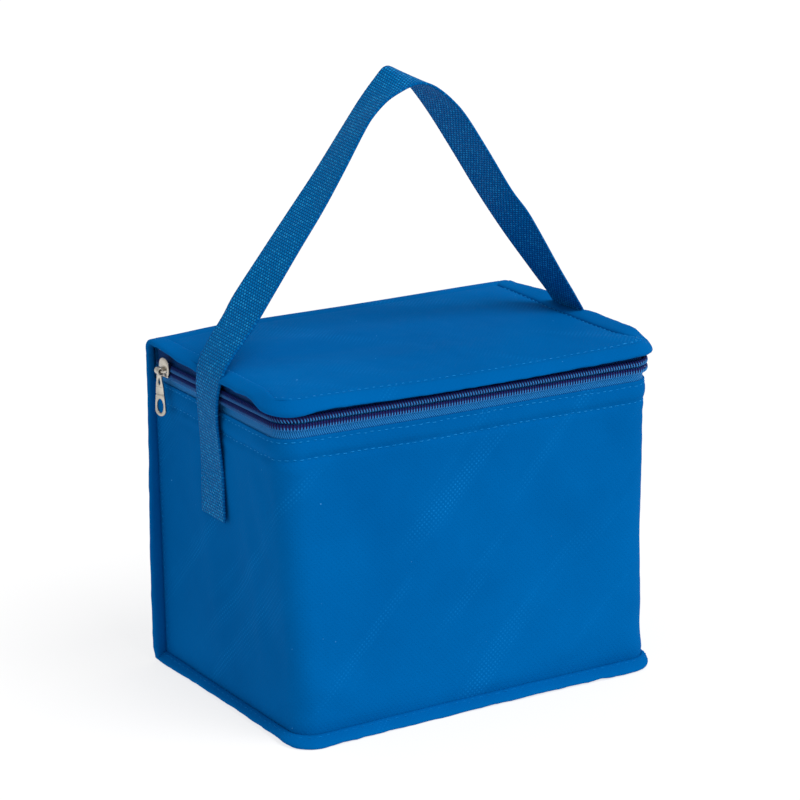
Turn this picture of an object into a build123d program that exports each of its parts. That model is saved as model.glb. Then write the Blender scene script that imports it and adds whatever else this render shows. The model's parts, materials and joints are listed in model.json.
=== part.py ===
"""Soft insulated cooler bag for six cans: a foam-lined fabric box with a zipped lid and a webbing handle.

Frame: millimetres, +Z up, origin at the centre of the base, on the surface that the bag stands on.
X runs along the long side, from one sewn end of the handle to the other. The front is -Y and the lid folds at +Y.
The layers of the walls are placed by their inset: the distance inwards from the outer face of the box.
"""

import os

from build123d import *

# Box
WIDTH = 210.0
DEPTH = 145.0
HEIGHT = 174.0
CORNER_R = 12.0

# Layers of the walls, from the outside in
COVER_T = 0.8
FOAM_T = 3.6
LINING_T = 0.4
WALL_T = COVER_T + FOAM_T + LINING_T
LAYER_GAP = 0.1

# Top edge of the walls, where the cover is hemmed over the zip tape
HEM_TOP = 155.0
HEM_LOW = 141.0
HEM_STITCHES_Z = (142.6, 153.4)
TAPE_T = 0.6
FACING_T = 0.6

# Zip chain, which runs round three sides just under the lid
CHAIN_Z = 162.0
CHAIN_END_Y = 64.0
COIL_HEIGHT = 2.6
COIL_T = 2.2
COIL_GAP = 1.0
TAPE_LOW = 144.5
TAPE_END_Y = 66.5
TACK_L = 2.2
TACK_T = 0.8

# Fabric fold that joins the lid to the back panel
FOLD_R = 2.5
FOLD_GAP = 0.5
FOLD_Y = DEPTH / 2 - FOLD_R
FOLD_Z = HEIGHT - FOLD_R

# Bound seams: a folded tape that stands out from each seam
BINDING_W = 8.0
BINDING_T = 3.0
LID_BINDING_DROP = 4.0
CORNER_BINDING_R = 3.6
THREAD = 0.4

# Handle webbing
STRAP_W = 25.0
STRAP_T = 1.4
STRAP_Y = 6.0
PATCH_LOW = 96.0
PATCH_TOP = 122.0
PATCH_INSET = 2.5
STAND_OFF = 8.6
STAND_OFF_RISE = 14.0
CREASE_Z = 176.0
CREASE_R = 4.0
STUB_LENGTH = 20.0
APEX_X = 4.0
APEX_Z = 311.5
PIVOT_Z = 190.0
PIVOT_GAP = 0.4

# Zip slider and its pull
SLIDER_Y = 55.0
SLIDER_L = 11.0
SLIDER_H = 8.8
PLATE_T = 1.2
PLATE_GAP = 0.3
RIM_T = 1.0
POST_L = 2.6
POST_T = 0.4
BRIDGE_L = 9.0
BRIDGE_H = 1.6
BRIDGE_RISE = 2.9
BRIDGE_BAR_T = 1.0
PULL_L = 29.0
PULL_T = 1.2
PULL_TOP_W = 4.6
PULL_LOW_W = 7.0
PULL_EYE_R = 1.3
PULL_BARREL_R = 2.0

HALF_W = WIDTH / 2
HALF_D = DEPTH / 2
FOAM_IN = COVER_T + FOAM_T
TAPE_IN = COVER_T + TAPE_T
FACING_OUT = TAPE_IN + LAYER_GAP
FACING_IN = FACING_OUT + FACING_T
COIL_OUT = COVER_T - COIL_T
CHAIN_LOW = CHAIN_Z - COIL_GAP / 2
CHAIN_TOP = CHAIN_Z + COIL_GAP / 2
LID_BACK = FOLD_Y - FOLD_R - FOLD_GAP
LID_FOAM_TOP = HEIGHT - COVER_T
LID_FOAM_LOW = LID_FOAM_TOP - FOAM_T
LID_LOW = LID_FOAM_LOW - LINING_T
LID_BINDING_BACK = FOLD_Y - CORNER_BINDING_R - FOLD_GAP
BACK_TOP = FOLD_Z - FOLD_R - FOLD_GAP

os.makedirs("parts", exist_ok=True)


def save(piece, name):
    """Labels a finished piece and writes it to its own file."""
    piece.part.label = name
    export_step(piece.part, f"parts/{name}.step")


def outline(inset, y_back):
    """The box's outline in plan, moved inwards, with rounded front corners and cut off square at y_back."""
    half = HALF_W - inset
    with BuildSketch() as face:
        with BuildLine():
            FilletPolyline(
                (-half, y_back),
                (-half, -HALF_D + inset),
                (half, -HALF_D + inset),
                (half, y_back),
                radius=CORNER_R - inset,
            )
            Line((half, y_back), (-half, y_back))
        make_face()
    return face.sketch


def wall(outer, inner, y_back):
    """A U-shaped wall in plan, round the left, front and right sides, between two insets."""
    with BuildSketch() as face:
        add(outline(outer, y_back))
        add(outline(inner, y_back + 1), mode=Mode.SUBTRACT)
    return face.sketch


def rectangle(low, high):
    """A rectangle between two opposite corners."""
    with BuildSketch() as face:
        with Locations(((low[0] + high[0]) / 2, (low[1] + high[1]) / 2)):
            Rectangle(high[0] - low[0], high[1] - low[1])
    return face.sketch


# ---- Outer fabric: a strip round the front and sides, a back panel and a base panel

with BuildPart() as side_cover:
    with BuildSketch(Plane.XY.offset(COVER_T)):
        add(wall(0, COVER_T, HALF_D))
    extrude(amount=HEM_TOP - COVER_T)
save(side_cover, "side_cover")

with BuildPart() as back_cover:
    with BuildSketch(Plane.XY.offset(COVER_T)):
        add(rectangle((-HALF_W + COVER_T, HALF_D - COVER_T), (HALF_W - COVER_T, HALF_D)))
    extrude(amount=BACK_TOP - COVER_T)
save(back_cover, "back_cover")

with BuildPart() as base_cover:
    with BuildSketch(Plane.XY):
        add(outline(0, HALF_D))
    extrude(amount=COVER_T)
save(base_cover, "base_cover")

# ---- Foam: thinner above the hem line, where the zip tape and the facing share the wall

with BuildPart() as side_foam:
    with BuildSketch(Plane.XY.offset(FOAM_IN)):
        add(wall(COVER_T, FOAM_IN, HALF_D - COVER_T))
    extrude(amount=HEM_LOW - FOAM_IN)
    with BuildSketch(Plane.XY.offset(HEM_LOW)):
        add(wall(FACING_IN, FOAM_IN, HALF_D - COVER_T))
    extrude(amount=HEM_TOP - LAYER_GAP - HEM_LOW)
save(side_foam, "side_foam")

with BuildPart() as back_foam:
    with BuildSketch(Plane.XY.offset(FOAM_IN)):
        add(rectangle((-HALF_W + FOAM_IN, HALF_D - FOAM_IN), (HALF_W - FOAM_IN, HALF_D - COVER_T)))
    extrude(amount=BACK_TOP - FOAM_IN)
save(back_foam, "back_foam")

with BuildPart() as base_foam:
    with BuildSketch(Plane.XY.offset(COVER_T)):
        add(outline(COVER_T, HALF_D - COVER_T))
    extrude(amount=FOAM_T)
save(base_foam, "base_foam")

# ---- Foil lining: floor, three walls and a taller back wall, welded into one open box

with BuildPart() as body_lining:
    with BuildSketch(Plane.XY.offset(FOAM_IN)):
        add(outline(FOAM_IN, HALF_D - FOAM_IN))
    extrude(amount=LINING_T)
    with BuildSketch(Plane.XY.offset(WALL_T)):
        add(wall(FOAM_IN, WALL_T, HALF_D - FOAM_IN))
    extrude(amount=HEM_TOP - WALL_T)
    with BuildSketch(Plane.XY.offset(WALL_T)):
        add(rectangle((-HALF_W + FOAM_IN, HALF_D - WALL_T), (HALF_W - FOAM_IN, HALF_D - FOAM_IN)))
    extrude(amount=BACK_TOP - WALL_T)
save(body_lining, "body_lining")

# ---- Hem: the cover's top edge folded inwards, behind the zip tape, and its two rows of stitches

with BuildPart() as hem_facing:
    with BuildSketch(Plane.XY.offset(HEM_LOW)):
        add(wall(FACING_OUT, FACING_IN, CHAIN_END_Y))
    extrude(amount=HEM_TOP - HEM_LOW)
save(hem_facing, "hem_facing")

for row_z, name in zip(HEM_STITCHES_Z, ("lower", "upper")):
    with BuildPart() as hem_stitches:
        with BuildSketch(Plane.XY.offset(row_z)):
            add(wall(-THREAD, 0, CHAIN_END_Y))
        extrude(amount=THREAD)
    save(hem_stitches, f"hem_stitches_{name}")

# ---- Bound seams of the body: round the base, up both back edges and over the back corners

with BuildPart() as base_binding:
    with BuildSketch(Plane.XY):
        add(wall(-BINDING_W, 0, HALF_D))
    extrude(amount=BINDING_T)
save(base_binding, "base_binding")

with BuildPart() as base_stitches:
    with BuildSketch(Plane.XY.offset(BINDING_T)):
        add(wall(-2.0 - THREAD, -2.0, HALF_D - BINDING_T - 1))
    extrude(amount=THREAD)
save(base_stitches, "base_stitches")

for side, name in ((-1, "left"), (1, "right")):
    low_x = min(side * HALF_W, side * (HALF_W + BINDING_W))
    with BuildPart() as back_binding:
        with BuildSketch(Plane.XY.offset(BINDING_T)):
            add(rectangle((low_x, HALF_D - BINDING_T), (low_x + BINDING_W, HALF_D)))
        extrude(amount=FOLD_Z - CORNER_BINDING_R - LAYER_GAP - BINDING_T)
        rim = back_binding.edges().filter_by(Axis.Z).group_by(Axis.X)[min(0, -side)]
        fillet(rim, radius=BINDING_T * 0.4)
    save(back_binding, f"back_binding_{name}")

    with BuildPart() as corner_binding:
        with BuildSketch(Plane.YZ.offset(low_x)):
            with Locations((FOLD_Y, FOLD_Z)):
                Circle(CORNER_BINDING_R)
        extrude(amount=BINDING_W)
    save(corner_binding, f"corner_binding_{name}")

    with BuildPart() as back_stitches:
        with BuildSketch(Plane.XY.offset(BINDING_T + 1)):
            with Locations((side * (HALF_W + THREAD / 2), HALF_D - BINDING_T - 2)):
                Rectangle(THREAD, THREAD)
        extrude(amount=HEM_TOP - BINDING_T - 1)
    save(back_stitches, f"back_stitches_{name}")

with BuildPart() as hinge_fold:
    with BuildSketch(Plane.YZ.offset(-HALF_W)):
        with Locations((FOLD_Y, FOLD_Z)):
            Circle(FOLD_R)
    extrude(amount=WIDTH)
save(hinge_fold, "hinge_fold")

# ---- Lid: cover, foam and foil, with a bound seam that slopes out and down over the zip

with BuildPart() as lid_cover:
    with BuildSketch(Plane.XY.offset(LID_FOAM_TOP)):
        add(outline(0, LID_BACK))
    extrude(amount=COVER_T)
save(lid_cover, "lid_cover")

with BuildPart() as lid_foam:
    with BuildSketch(Plane.XY.offset(LID_FOAM_LOW)):
        add(outline(0, LID_BACK))
    extrude(amount=FOAM_T)
save(lid_foam, "lid_foam")

with BuildPart() as lid_lining:
    with BuildSketch(Plane.XY.offset(LID_LOW)):
        add(outline(COVER_T, LID_BACK))
    extrude(amount=LINING_T)
save(lid_lining, "lid_lining")

with BuildPart() as lid_binding:
    with BuildLine() as lid_edge:
        FilletPolyline(
            (-HALF_W, LID_BINDING_BACK, 0),
            (-HALF_W, -HALF_D, 0),
            (HALF_W, -HALF_D, 0),
            (HALF_W, LID_BINDING_BACK, 0),
            radius=CORNER_R,
        )
    with BuildSketch(Plane.XZ.offset(-LID_BINDING_BACK)):
        with BuildLine():
            Polyline(
                (-HALF_W, HEIGHT - 0.2),
                (-HALF_W, HEIGHT - 0.2 - BINDING_T),
                (-HALF_W - BINDING_W * 0.7, HEIGHT - 0.2 - BINDING_T - LID_BINDING_DROP),
                (-HALF_W - BINDING_W * 0.85, HEIGHT - 0.2 - LID_BINDING_DROP),
                close=True,
            )
        make_face()
    sweep(path=lid_edge.line)
save(lid_binding, "lid_binding")

with BuildPart() as lid_stitches:
    with BuildSketch(Plane.XY.offset(HEIGHT)):
        add(wall(3.0, 3.0 + THREAD, LID_BINDING_BACK))
    extrude(amount=THREAD)
save(lid_stitches, "lid_stitches")

# ---- Zip: two tapes, two rows of nylon coil, and a tack of thread across each end

for name, low, high in (("lower", TAPE_LOW, CHAIN_LOW), ("upper", CHAIN_TOP, LID_LOW)):
    with BuildPart() as zip_tape:
        with BuildSketch(Plane.XY.offset(low)):
            add(wall(COVER_T, TAPE_IN, TAPE_END_Y))
        extrude(amount=high - low)
    save(zip_tape, f"zip_{name}_tape")

for name, low in (("lower", CHAIN_LOW - COIL_HEIGHT), ("upper", CHAIN_TOP)):
    with BuildPart() as zip_coil:
        with BuildSketch(Plane.XY.offset(low)):
            add(wall(COIL_OUT, COVER_T, CHAIN_END_Y))
        extrude(amount=COIL_HEIGHT)
    save(zip_coil, f"zip_{name}_coil")

for side, name in ((-1, "left"), (1, "right")):
    with BuildPart() as zip_end_tack:
        with BuildSketch(Plane.XY.offset(HEM_TOP + LAYER_GAP)):
            with Locations(
                (side * (HALF_W - COVER_T + TACK_T / 2), CHAIN_END_Y + LAYER_GAP + TACK_L / 2)
            ):
                Rectangle(TACK_T, TACK_L)
        extrude(amount=CHAIN_LOW - HEM_TOP - 2 * LAYER_GAP)
    save(zip_end_tack, f"zip_end_tack_{name}")

# ---- Handle: one length of webbing, sewn flat on both side walls and creased where it passes the lid

crease_x = HALF_W + STAND_OFF
apex = Vector(APEX_X, APEX_Z)


def ribbon(points):
    """The webbing's edge view along a bent line, in the plane through the middle of its width."""
    with BuildSketch() as face:
        with BuildLine() as line:
            FilletPolyline(*points, radius=CREASE_R)
        trace(line.line, line_width=STRAP_T)
    return face.sketch


def swing_region(radius):
    """Side view of the space that belongs to the swinging loop: a disc about the pivot and all above it."""
    with BuildSketch() as face:
        with Locations((STRAP_Y, PIVOT_Z)):
            Circle(radius)
        add(rectangle((STRAP_Y - radius, PIVOT_Z), (STRAP_Y + radius, APEX_Z + STRAP_W)))
    return face.sketch


for side, name in ((-1, "left"), (1, "right")):
    crease = Vector(side * crease_x, CREASE_Z)
    stub_end = crease + (apex - crease).normalized() * STUB_LENGTH
    sewn_x = side * (HALF_W + STRAP_T / 2)
    with BuildPart() as strap_end:
        with BuildSketch(Plane.XZ.offset(-STRAP_Y)):
            add(
                ribbon(
                    [
                        (sewn_x, PATCH_LOW),
                        (sewn_x, PATCH_TOP),
                        (side * crease_x, PATCH_TOP + STAND_OFF_RISE),
                        crease,
                        stub_end,
                    ]
                )
            )
        extrude(amount=STRAP_W / 2, both=True)
        with BuildSketch(Plane.YZ):
            add(swing_region(STRAP_W / 2 + PIVOT_GAP))
        extrude(amount=WIDTH, both=True, mode=Mode.SUBTRACT)
    save(strap_end, f"strap_end_{name}")

    with BuildPart() as strap_stitches:
        with BuildSketch(Plane.YZ.offset(side * (HALF_W + STRAP_T + THREAD / 2))):
            with Locations((STRAP_Y, (PATCH_LOW + PATCH_TOP) / 2)):
                box = Rectangle(STRAP_W - 2 * PATCH_INSET, PATCH_TOP - PATCH_LOW - 2 * PATCH_INSET)
            offset(box, amount=-THREAD, mode=Mode.SUBTRACT)
        extrude(amount=THREAD / 2, both=True)
    save(strap_stitches, f"strap_stitches_{name}")

with BuildPart() as handle_loop:
    with BuildSketch(Plane.XZ.offset(-STRAP_Y)):
        add(ribbon([(-crease_x, CREASE_Z), apex, (crease_x, CREASE_Z)]))
    extrude(amount=STRAP_W / 2, both=True)
    with BuildSketch(Plane.YZ):
        add(swing_region(STRAP_W / 2))
    extrude(amount=WIDTH, both=True, mode=Mode.INTERSECT)
save(handle_loop, "handle_loop")

# ---- Zip slider: a front and a back plate joined by a thin post, with a bridge that carries the pull

front_plate_x = -HALF_W + COIL_OUT - PLATE_GAP - PLATE_T
back_plate_x = -HALF_W + TAPE_IN + PLATE_GAP
bar_x = front_plate_x - BRIDGE_RISE + BRIDGE_BAR_T / 2

with BuildPart() as slider_body:
    for plate_x in (front_plate_x, back_plate_x):
        with BuildSketch(Plane.YZ.offset(plate_x)):
            with BuildLine():
                Polyline(
                    (SLIDER_Y - SLIDER_L / 2, CHAIN_Z - SLIDER_H * 0.38),
                    (SLIDER_Y + SLIDER_L * 0.15, CHAIN_Z - SLIDER_H / 2),
                    (SLIDER_Y + SLIDER_L / 2, CHAIN_Z - SLIDER_H / 2),
                    (SLIDER_Y + SLIDER_L / 2, CHAIN_Z + SLIDER_H / 2),
                    (SLIDER_Y + SLIDER_L * 0.15, CHAIN_Z + SLIDER_H / 2),
                    (SLIDER_Y - SLIDER_L / 2, CHAIN_Z + SLIDER_H * 0.38),
                    close=True,
                )
            face = make_face()
            fillet(face.vertices(), radius=1.2)
        extrude(amount=PLATE_T)
    with BuildSketch(Plane.YZ.offset(front_plate_x)):
        with Locations((SLIDER_Y + SLIDER_L / 2 - POST_L, CHAIN_Z)):
            Rectangle(POST_L, POST_T)
    extrude(amount=back_plate_x + PLATE_T - front_plate_x)
    with BuildSketch(Plane.YZ.offset(front_plate_x + PLATE_T)):
        with Locations((SLIDER_Y + SLIDER_L * 0.28, CHAIN_Z - SLIDER_H / 2 + RIM_T / 2)):
            Rectangle(SLIDER_L * 0.2, RIM_T)
    extrude(amount=COIL_T * 0.6)
save(slider_body, "slider_body")

with BuildPart() as slider_bridge:
    with BuildSketch(Plane.XY.offset(CHAIN_Z - BRIDGE_H / 2)):
        with Locations((front_plate_x - BRIDGE_RISE / 2, SLIDER_Y)):
            Rectangle(BRIDGE_RISE, BRIDGE_L)
        with Locations((front_plate_x - (BRIDGE_RISE - BRIDGE_BAR_T) / 2, SLIDER_Y)):
            Rectangle(BRIDGE_RISE - BRIDGE_BAR_T, BRIDGE_L * 0.73, mode=Mode.SUBTRACT)
    extrude(amount=BRIDGE_H)
    fillet(slider_bridge.edges().filter_by(Axis.Z).group_by(Axis.X)[0], radius=0.9)
save(slider_bridge, "slider_bridge")

with BuildPart() as pull_tab:
    with BuildSketch(Plane.YZ.offset(bar_x - PULL_T / 2)):
        with BuildLine():
            Polyline(
                (SLIDER_Y - PULL_TOP_W / 2, CHAIN_Z - PULL_EYE_R),
                (SLIDER_Y + PULL_TOP_W / 2, CHAIN_Z - PULL_EYE_R),
                (SLIDER_Y + PULL_LOW_W / 2, CHAIN_Z + PULL_BARREL_R - PULL_L),
                (SLIDER_Y - PULL_LOW_W / 2, CHAIN_Z + PULL_BARREL_R - PULL_L),
                close=True,
            )
        tab = make_face()
        fillet(tab.vertices().group_by(Axis.Y)[0], radius=2.6)
        with Locations((SLIDER_Y, CHAIN_Z + PULL_BARREL_R - PULL_L + 6.0)):
            SlotOverall(6.4, 3.2, rotation=90, mode=Mode.SUBTRACT)
    extrude(amount=PULL_T)
    with BuildSketch(Plane.XZ.offset(-SLIDER_Y)):
        with Locations((bar_x, CHAIN_Z)):
            Circle(PULL_BARREL_R)
    extrude(amount=PULL_TOP_W / 2, both=True)
    with BuildSketch(Plane.XZ.offset(-SLIDER_Y)):
        with Locations((bar_x, CHAIN_Z)):
            Circle(PULL_EYE_R)
    extrude(amount=PULL_LOW_W, both=True, mode=Mode.SUBTRACT)
save(pull_tab, "pull_tab")
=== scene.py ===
import json
import math

import bmesh
import bpy
import numpy as np
from mathutils import Matrix, Vector, noise

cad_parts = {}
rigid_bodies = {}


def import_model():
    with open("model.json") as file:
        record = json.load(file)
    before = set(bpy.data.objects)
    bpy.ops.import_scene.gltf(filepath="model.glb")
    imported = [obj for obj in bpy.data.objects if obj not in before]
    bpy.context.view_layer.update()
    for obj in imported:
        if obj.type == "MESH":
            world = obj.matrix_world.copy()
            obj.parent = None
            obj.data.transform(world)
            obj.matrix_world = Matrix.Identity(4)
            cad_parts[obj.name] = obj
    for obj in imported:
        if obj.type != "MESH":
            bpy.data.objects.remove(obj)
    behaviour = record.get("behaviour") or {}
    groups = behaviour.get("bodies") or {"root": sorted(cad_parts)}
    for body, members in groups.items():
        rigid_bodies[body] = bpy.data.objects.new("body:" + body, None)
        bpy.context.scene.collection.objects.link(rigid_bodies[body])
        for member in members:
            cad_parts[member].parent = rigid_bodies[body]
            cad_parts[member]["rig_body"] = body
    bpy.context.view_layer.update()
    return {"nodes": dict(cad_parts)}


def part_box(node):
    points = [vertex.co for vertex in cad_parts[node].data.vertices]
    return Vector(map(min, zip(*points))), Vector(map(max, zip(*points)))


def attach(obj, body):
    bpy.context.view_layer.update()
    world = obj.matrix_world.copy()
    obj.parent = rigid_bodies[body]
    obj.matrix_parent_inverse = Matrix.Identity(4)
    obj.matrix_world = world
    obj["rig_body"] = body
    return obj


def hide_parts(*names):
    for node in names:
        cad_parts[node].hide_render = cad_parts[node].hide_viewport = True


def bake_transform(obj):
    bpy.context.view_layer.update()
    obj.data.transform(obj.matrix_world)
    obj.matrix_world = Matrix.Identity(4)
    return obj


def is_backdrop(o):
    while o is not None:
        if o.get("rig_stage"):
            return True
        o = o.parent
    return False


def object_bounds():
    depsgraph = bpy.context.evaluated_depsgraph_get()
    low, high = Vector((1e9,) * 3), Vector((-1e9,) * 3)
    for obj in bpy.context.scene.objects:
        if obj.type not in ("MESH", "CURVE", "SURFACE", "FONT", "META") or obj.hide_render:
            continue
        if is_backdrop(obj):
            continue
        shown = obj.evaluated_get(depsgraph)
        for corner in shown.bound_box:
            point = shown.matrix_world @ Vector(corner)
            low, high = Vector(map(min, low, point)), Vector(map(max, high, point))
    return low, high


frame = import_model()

MM = 0.001
UP = (0.0, 0.0, 1.0)
SIDES = ((-1, "left"), (1, "right"))

# ---------------------------------------------------------------- the bag's plan, in mm
HALF_W, FRONT_Y, BACK_Y, CORNER_R = 105.0, -72.5, 72.5, 12.0
FLAT_HALF = HALF_W - CORNER_R                     # straight half of the front
CORNER_Y = FRONT_Y + CORNER_R
CORNER_S = FLAT_HALF + CORNER_R * math.pi / 2     # where the front corner ends, along the rim
HEM_Z, LID_Z = 153.25, 173.6
HEM_STITCH_LOW, HEM_STITCH_HIGH = 142.6, 151.3    # the hem's two rows of stitches
COIL_LOW_Z, COIL_HIGH_Z, COIL_HIGH = 159.1, 162.9, 1.56    # the zip's two rows, and half a row's height
FOLD_Y, FOLD_Z = 70.0, 171.5


def rim(s):
    """The bag's outline from above, as points and outward directions.

    s runs along it from the middle of the front, minus to the left.
    """
    s = np.asarray(s, float)
    side, run = np.where(s < 0, -1.0, 1.0), np.abs(s)
    a = np.clip((run - FLAT_HALF) / CORNER_R, 0, math.pi / 2)
    past = np.maximum(run - CORNER_S, 0)
    x = side * (np.minimum(run, FLAT_HALF) + CORNER_R * np.sin(a))
    y = CORNER_Y - CORNER_R * np.cos(a) + past
    return np.stack([x, y], -1), np.stack([side * np.sin(a), -np.cos(a)], -1)


def s_at(y):
    """How far along the rim a side reaches that y."""
    return CORNER_S + y - CORNER_Y


def bump(x, at, width):
    return np.exp(-(((x - at) / width) ** 2))


def grid(a, b):
    return np.meshgrid(a, b, indexing="ij")


def smooth(x, a, b):
    t = np.clip((x - a) / (b - a), 0, 1)
    return t * t * (3 - 2 * t)


def unit(v):
    return v / np.maximum(np.linalg.norm(v, axis=-1, keepdims=True), 1e-9)


def with_z(xy, z):
    """Flat points, or directions, given a height."""
    return np.concatenate([xy, np.broadcast_to(z, xy.shape[:-1])[..., None]], -1)


def at_x(x, yz):
    """Points seen from the side, given their place in x."""
    return np.concatenate([np.full((len(yz), 1), x), yz], -1)


def circle(count):
    """Evenly spaced angles round a full turn."""
    return np.linspace(0, 2 * np.pi, count, endpoint=False)


def run_along(line):
    """How far along a line each of its points lies."""
    return np.concatenate([[0], np.cumsum(np.linalg.norm(np.diff(line, axis=0), axis=1))])


def rough(points, scale, seed, octaves=3):
    """Smooth noise from about -1 to 1 at those points, in mm."""
    flat = np.asarray(points, float).reshape(-1, 3) / scale + seed * 7.31
    out = [noise.fractal(Vector(p), 0.8, 2.1, octaves) for p in flat]
    return np.array(out).reshape(np.shape(points)[:-1])


def lean(p):
    """How the whole bag is out of square.

    The near vertical edge leans: its foot stands right of and in front of its top.
    The lid's back stands a little high, and its front sags.
    """
    x, y, z = p[..., 0], p[..., 1], p[..., 2]
    near = smooth(-x, 10, 105) * smooth(-y, -40, 72)
    tilt = 1 - 2 * smooth(z, 0, 176)
    away = smooth(300 - z, 60, 120)               # nothing above the bag leans
    q = p.copy()
    # the zip leans less, so that its slider runs straight
    zip_zone = smooth(z, 153.5, 157.5) * (1 - smooth(z, 164.5, 168.5))
    q[..., 0] += near * tilt * 2.0 * away * (1 - 0.92 * zip_zone)
    q[..., 1] -= near * tilt * 2.3 * away
    q[..., 2] += near * smooth(z, 20, 170) * 0.4 * away
    high_back = 2.3 + 0.8 * smooth(x, 0, 105) - 1.9 * smooth(-x, 60, 105)
    q[..., 2] += high_back * smooth(y, -30, 70) * smooth(z, 163, 170) * away
    q[..., 2] -= 1.7 * (1 - np.clip(x / 100, -1, 1) ** 2) * smooth(-y, 10, 72) * smooth(z, 164, 170) * away
    return q


# ---------------------------------------------------------------- how the padded cloth settles
SETTLE_UNIT = 100.0                               # mm to one unit of the simulation
SETTLE_FRAMES = 24


def settle(name, points, out, sewn, grow, weight):
    """Cloth simulation of a padded panel, sewn at some of its grid points and a little larger than its frame.

    Gives how far each point moves along its outward direction, from -1 to 1.
    """
    rows, cols = points.shape[:2]
    index = np.arange(rows * cols).reshape(rows, cols)
    faces = np.stack([index[:-1, :-1], index[:-1, 1:], index[1:, 1:], index[1:, :-1]], -1).reshape(-1, 4)
    start = points + out * (0.25 * rough(points, 21, 3))[..., None]
    mesh = bpy.data.meshes.new(name)
    mesh.from_pydata((start / SETTLE_UNIT).reshape(-1, 3).tolist(), [], faces.tolist())
    panel = bpy.data.objects.new(name, mesh)
    bpy.context.scene.collection.objects.link(panel)
    panel.vertex_groups.new(name="sewn").add(index[sewn].tolist(), 1.0, "REPLACE")
    cloth = panel.modifiers.new("cloth", "CLOTH")
    cloth.settings.vertex_group_mass = "sewn"
    cloth.settings.quality = 8
    cloth.settings.mass = 0.3
    cloth.settings.tension_stiffness = cloth.settings.compression_stiffness = 20
    cloth.settings.bending_stiffness = 1.5
    cloth.settings.shrink_min = -grow
    cloth.settings.effector_weights.gravity = weight
    cloth.collision_settings.use_collision = False
    cloth.collision_settings.use_self_collision = False
    cloth.point_cache.frame_start, cloth.point_cache.frame_end = 1, SETTLE_FRAMES
    scene = bpy.context.scene
    for frame_number in range(1, SETTLE_FRAMES + 1):
        scene.frame_set(frame_number)
    held = panel.evaluated_get(bpy.context.evaluated_depsgraph_get())
    moved = np.empty(rows * cols * 3, np.float32)
    held.data.vertices.foreach_get("co", moved)
    bpy.data.objects.remove(panel)
    bpy.data.meshes.remove(mesh)
    scene.frame_set(1)
    shift = ((moved.reshape(rows, cols, 3) * SETTLE_UNIT - points) * out).sum(-1)
    shift -= shift[~sewn].mean() * ~sewn
    limit = np.percentile(np.abs(shift), 97)
    return np.clip(shift / max(limit, 1e-6), -1, 1)


def spline_at(field, a, b):
    """A grid of values read at places between its points, with a smooth cubic blend."""
    value = 0.0
    a, b = np.clip(a, 0, field.shape[0] - 1.001), np.clip(b, 0, field.shape[1] - 1.001)
    i, j = np.floor(a).astype(int), np.floor(b).astype(int)
    f, g = a - i, b - j

    def weights(t):
        inner = (3 * t ** 3 - 6 * t ** 2 + 4) / 6, (-3 * t ** 3 + 3 * t ** 2 + 3 * t + 1) / 6
        return (1 - t) ** 3 / 6, *inner, t ** 3 / 6

    for m, wa in enumerate(weights(f)):
        row = np.clip(i + m - 1, 0, field.shape[0] - 1)
        for n, wb in enumerate(weights(g)):
            col = np.clip(j + n - 1, 0, field.shape[1] - 1)
            value = value + wa * wb * field[row, col]
    return value


WALL_S, WALL_Z = np.linspace(-242, 242, 111), np.linspace(2, 140, 32)
grid_s, grid_z = grid(WALL_S, WALL_Z)
rim_xy, rim_out = rim(grid_s)
edge_rows = (grid_z < 7) | (grid_z > 135) | (np.abs(grid_s) > 236)
strap_patch = (np.abs(np.abs(grid_s) - s_at(5)) < 17) & (grid_z > 92) & (grid_z < 124)
WALL_SETTLED = settle("wall_settling", with_z(rim_xy, grid_z), with_z(rim_out, 0.0),
                      edge_rows | strap_patch, grow=0.025, weight=0.35)
LID_X, LID_Y = np.linspace(-99, 99, 56), np.linspace(-70, 66, 40)
grid_x, grid_y = grid(LID_X, LID_Y)
lid_edge = (np.abs(grid_x) > 96) | (grid_y < -66) | (grid_y > 63)
LID_SETTLED = settle("lid_settling", np.stack([grid_x, grid_y, 0 * grid_x], -1),
                     np.broadcast_to(UP, grid_x.shape + (3,)), lid_edge, grow=0.02, weight=0.2)


def read_grid(field, a_axis, b_axis, a, b):
    """A settled field's value at a place given on its own axes, in mm."""
    return spline_at(field, *((v - axis[0]) / (axis[1] - axis[0]) for v, axis in ((a, a_axis), (b, b_axis))))


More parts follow.
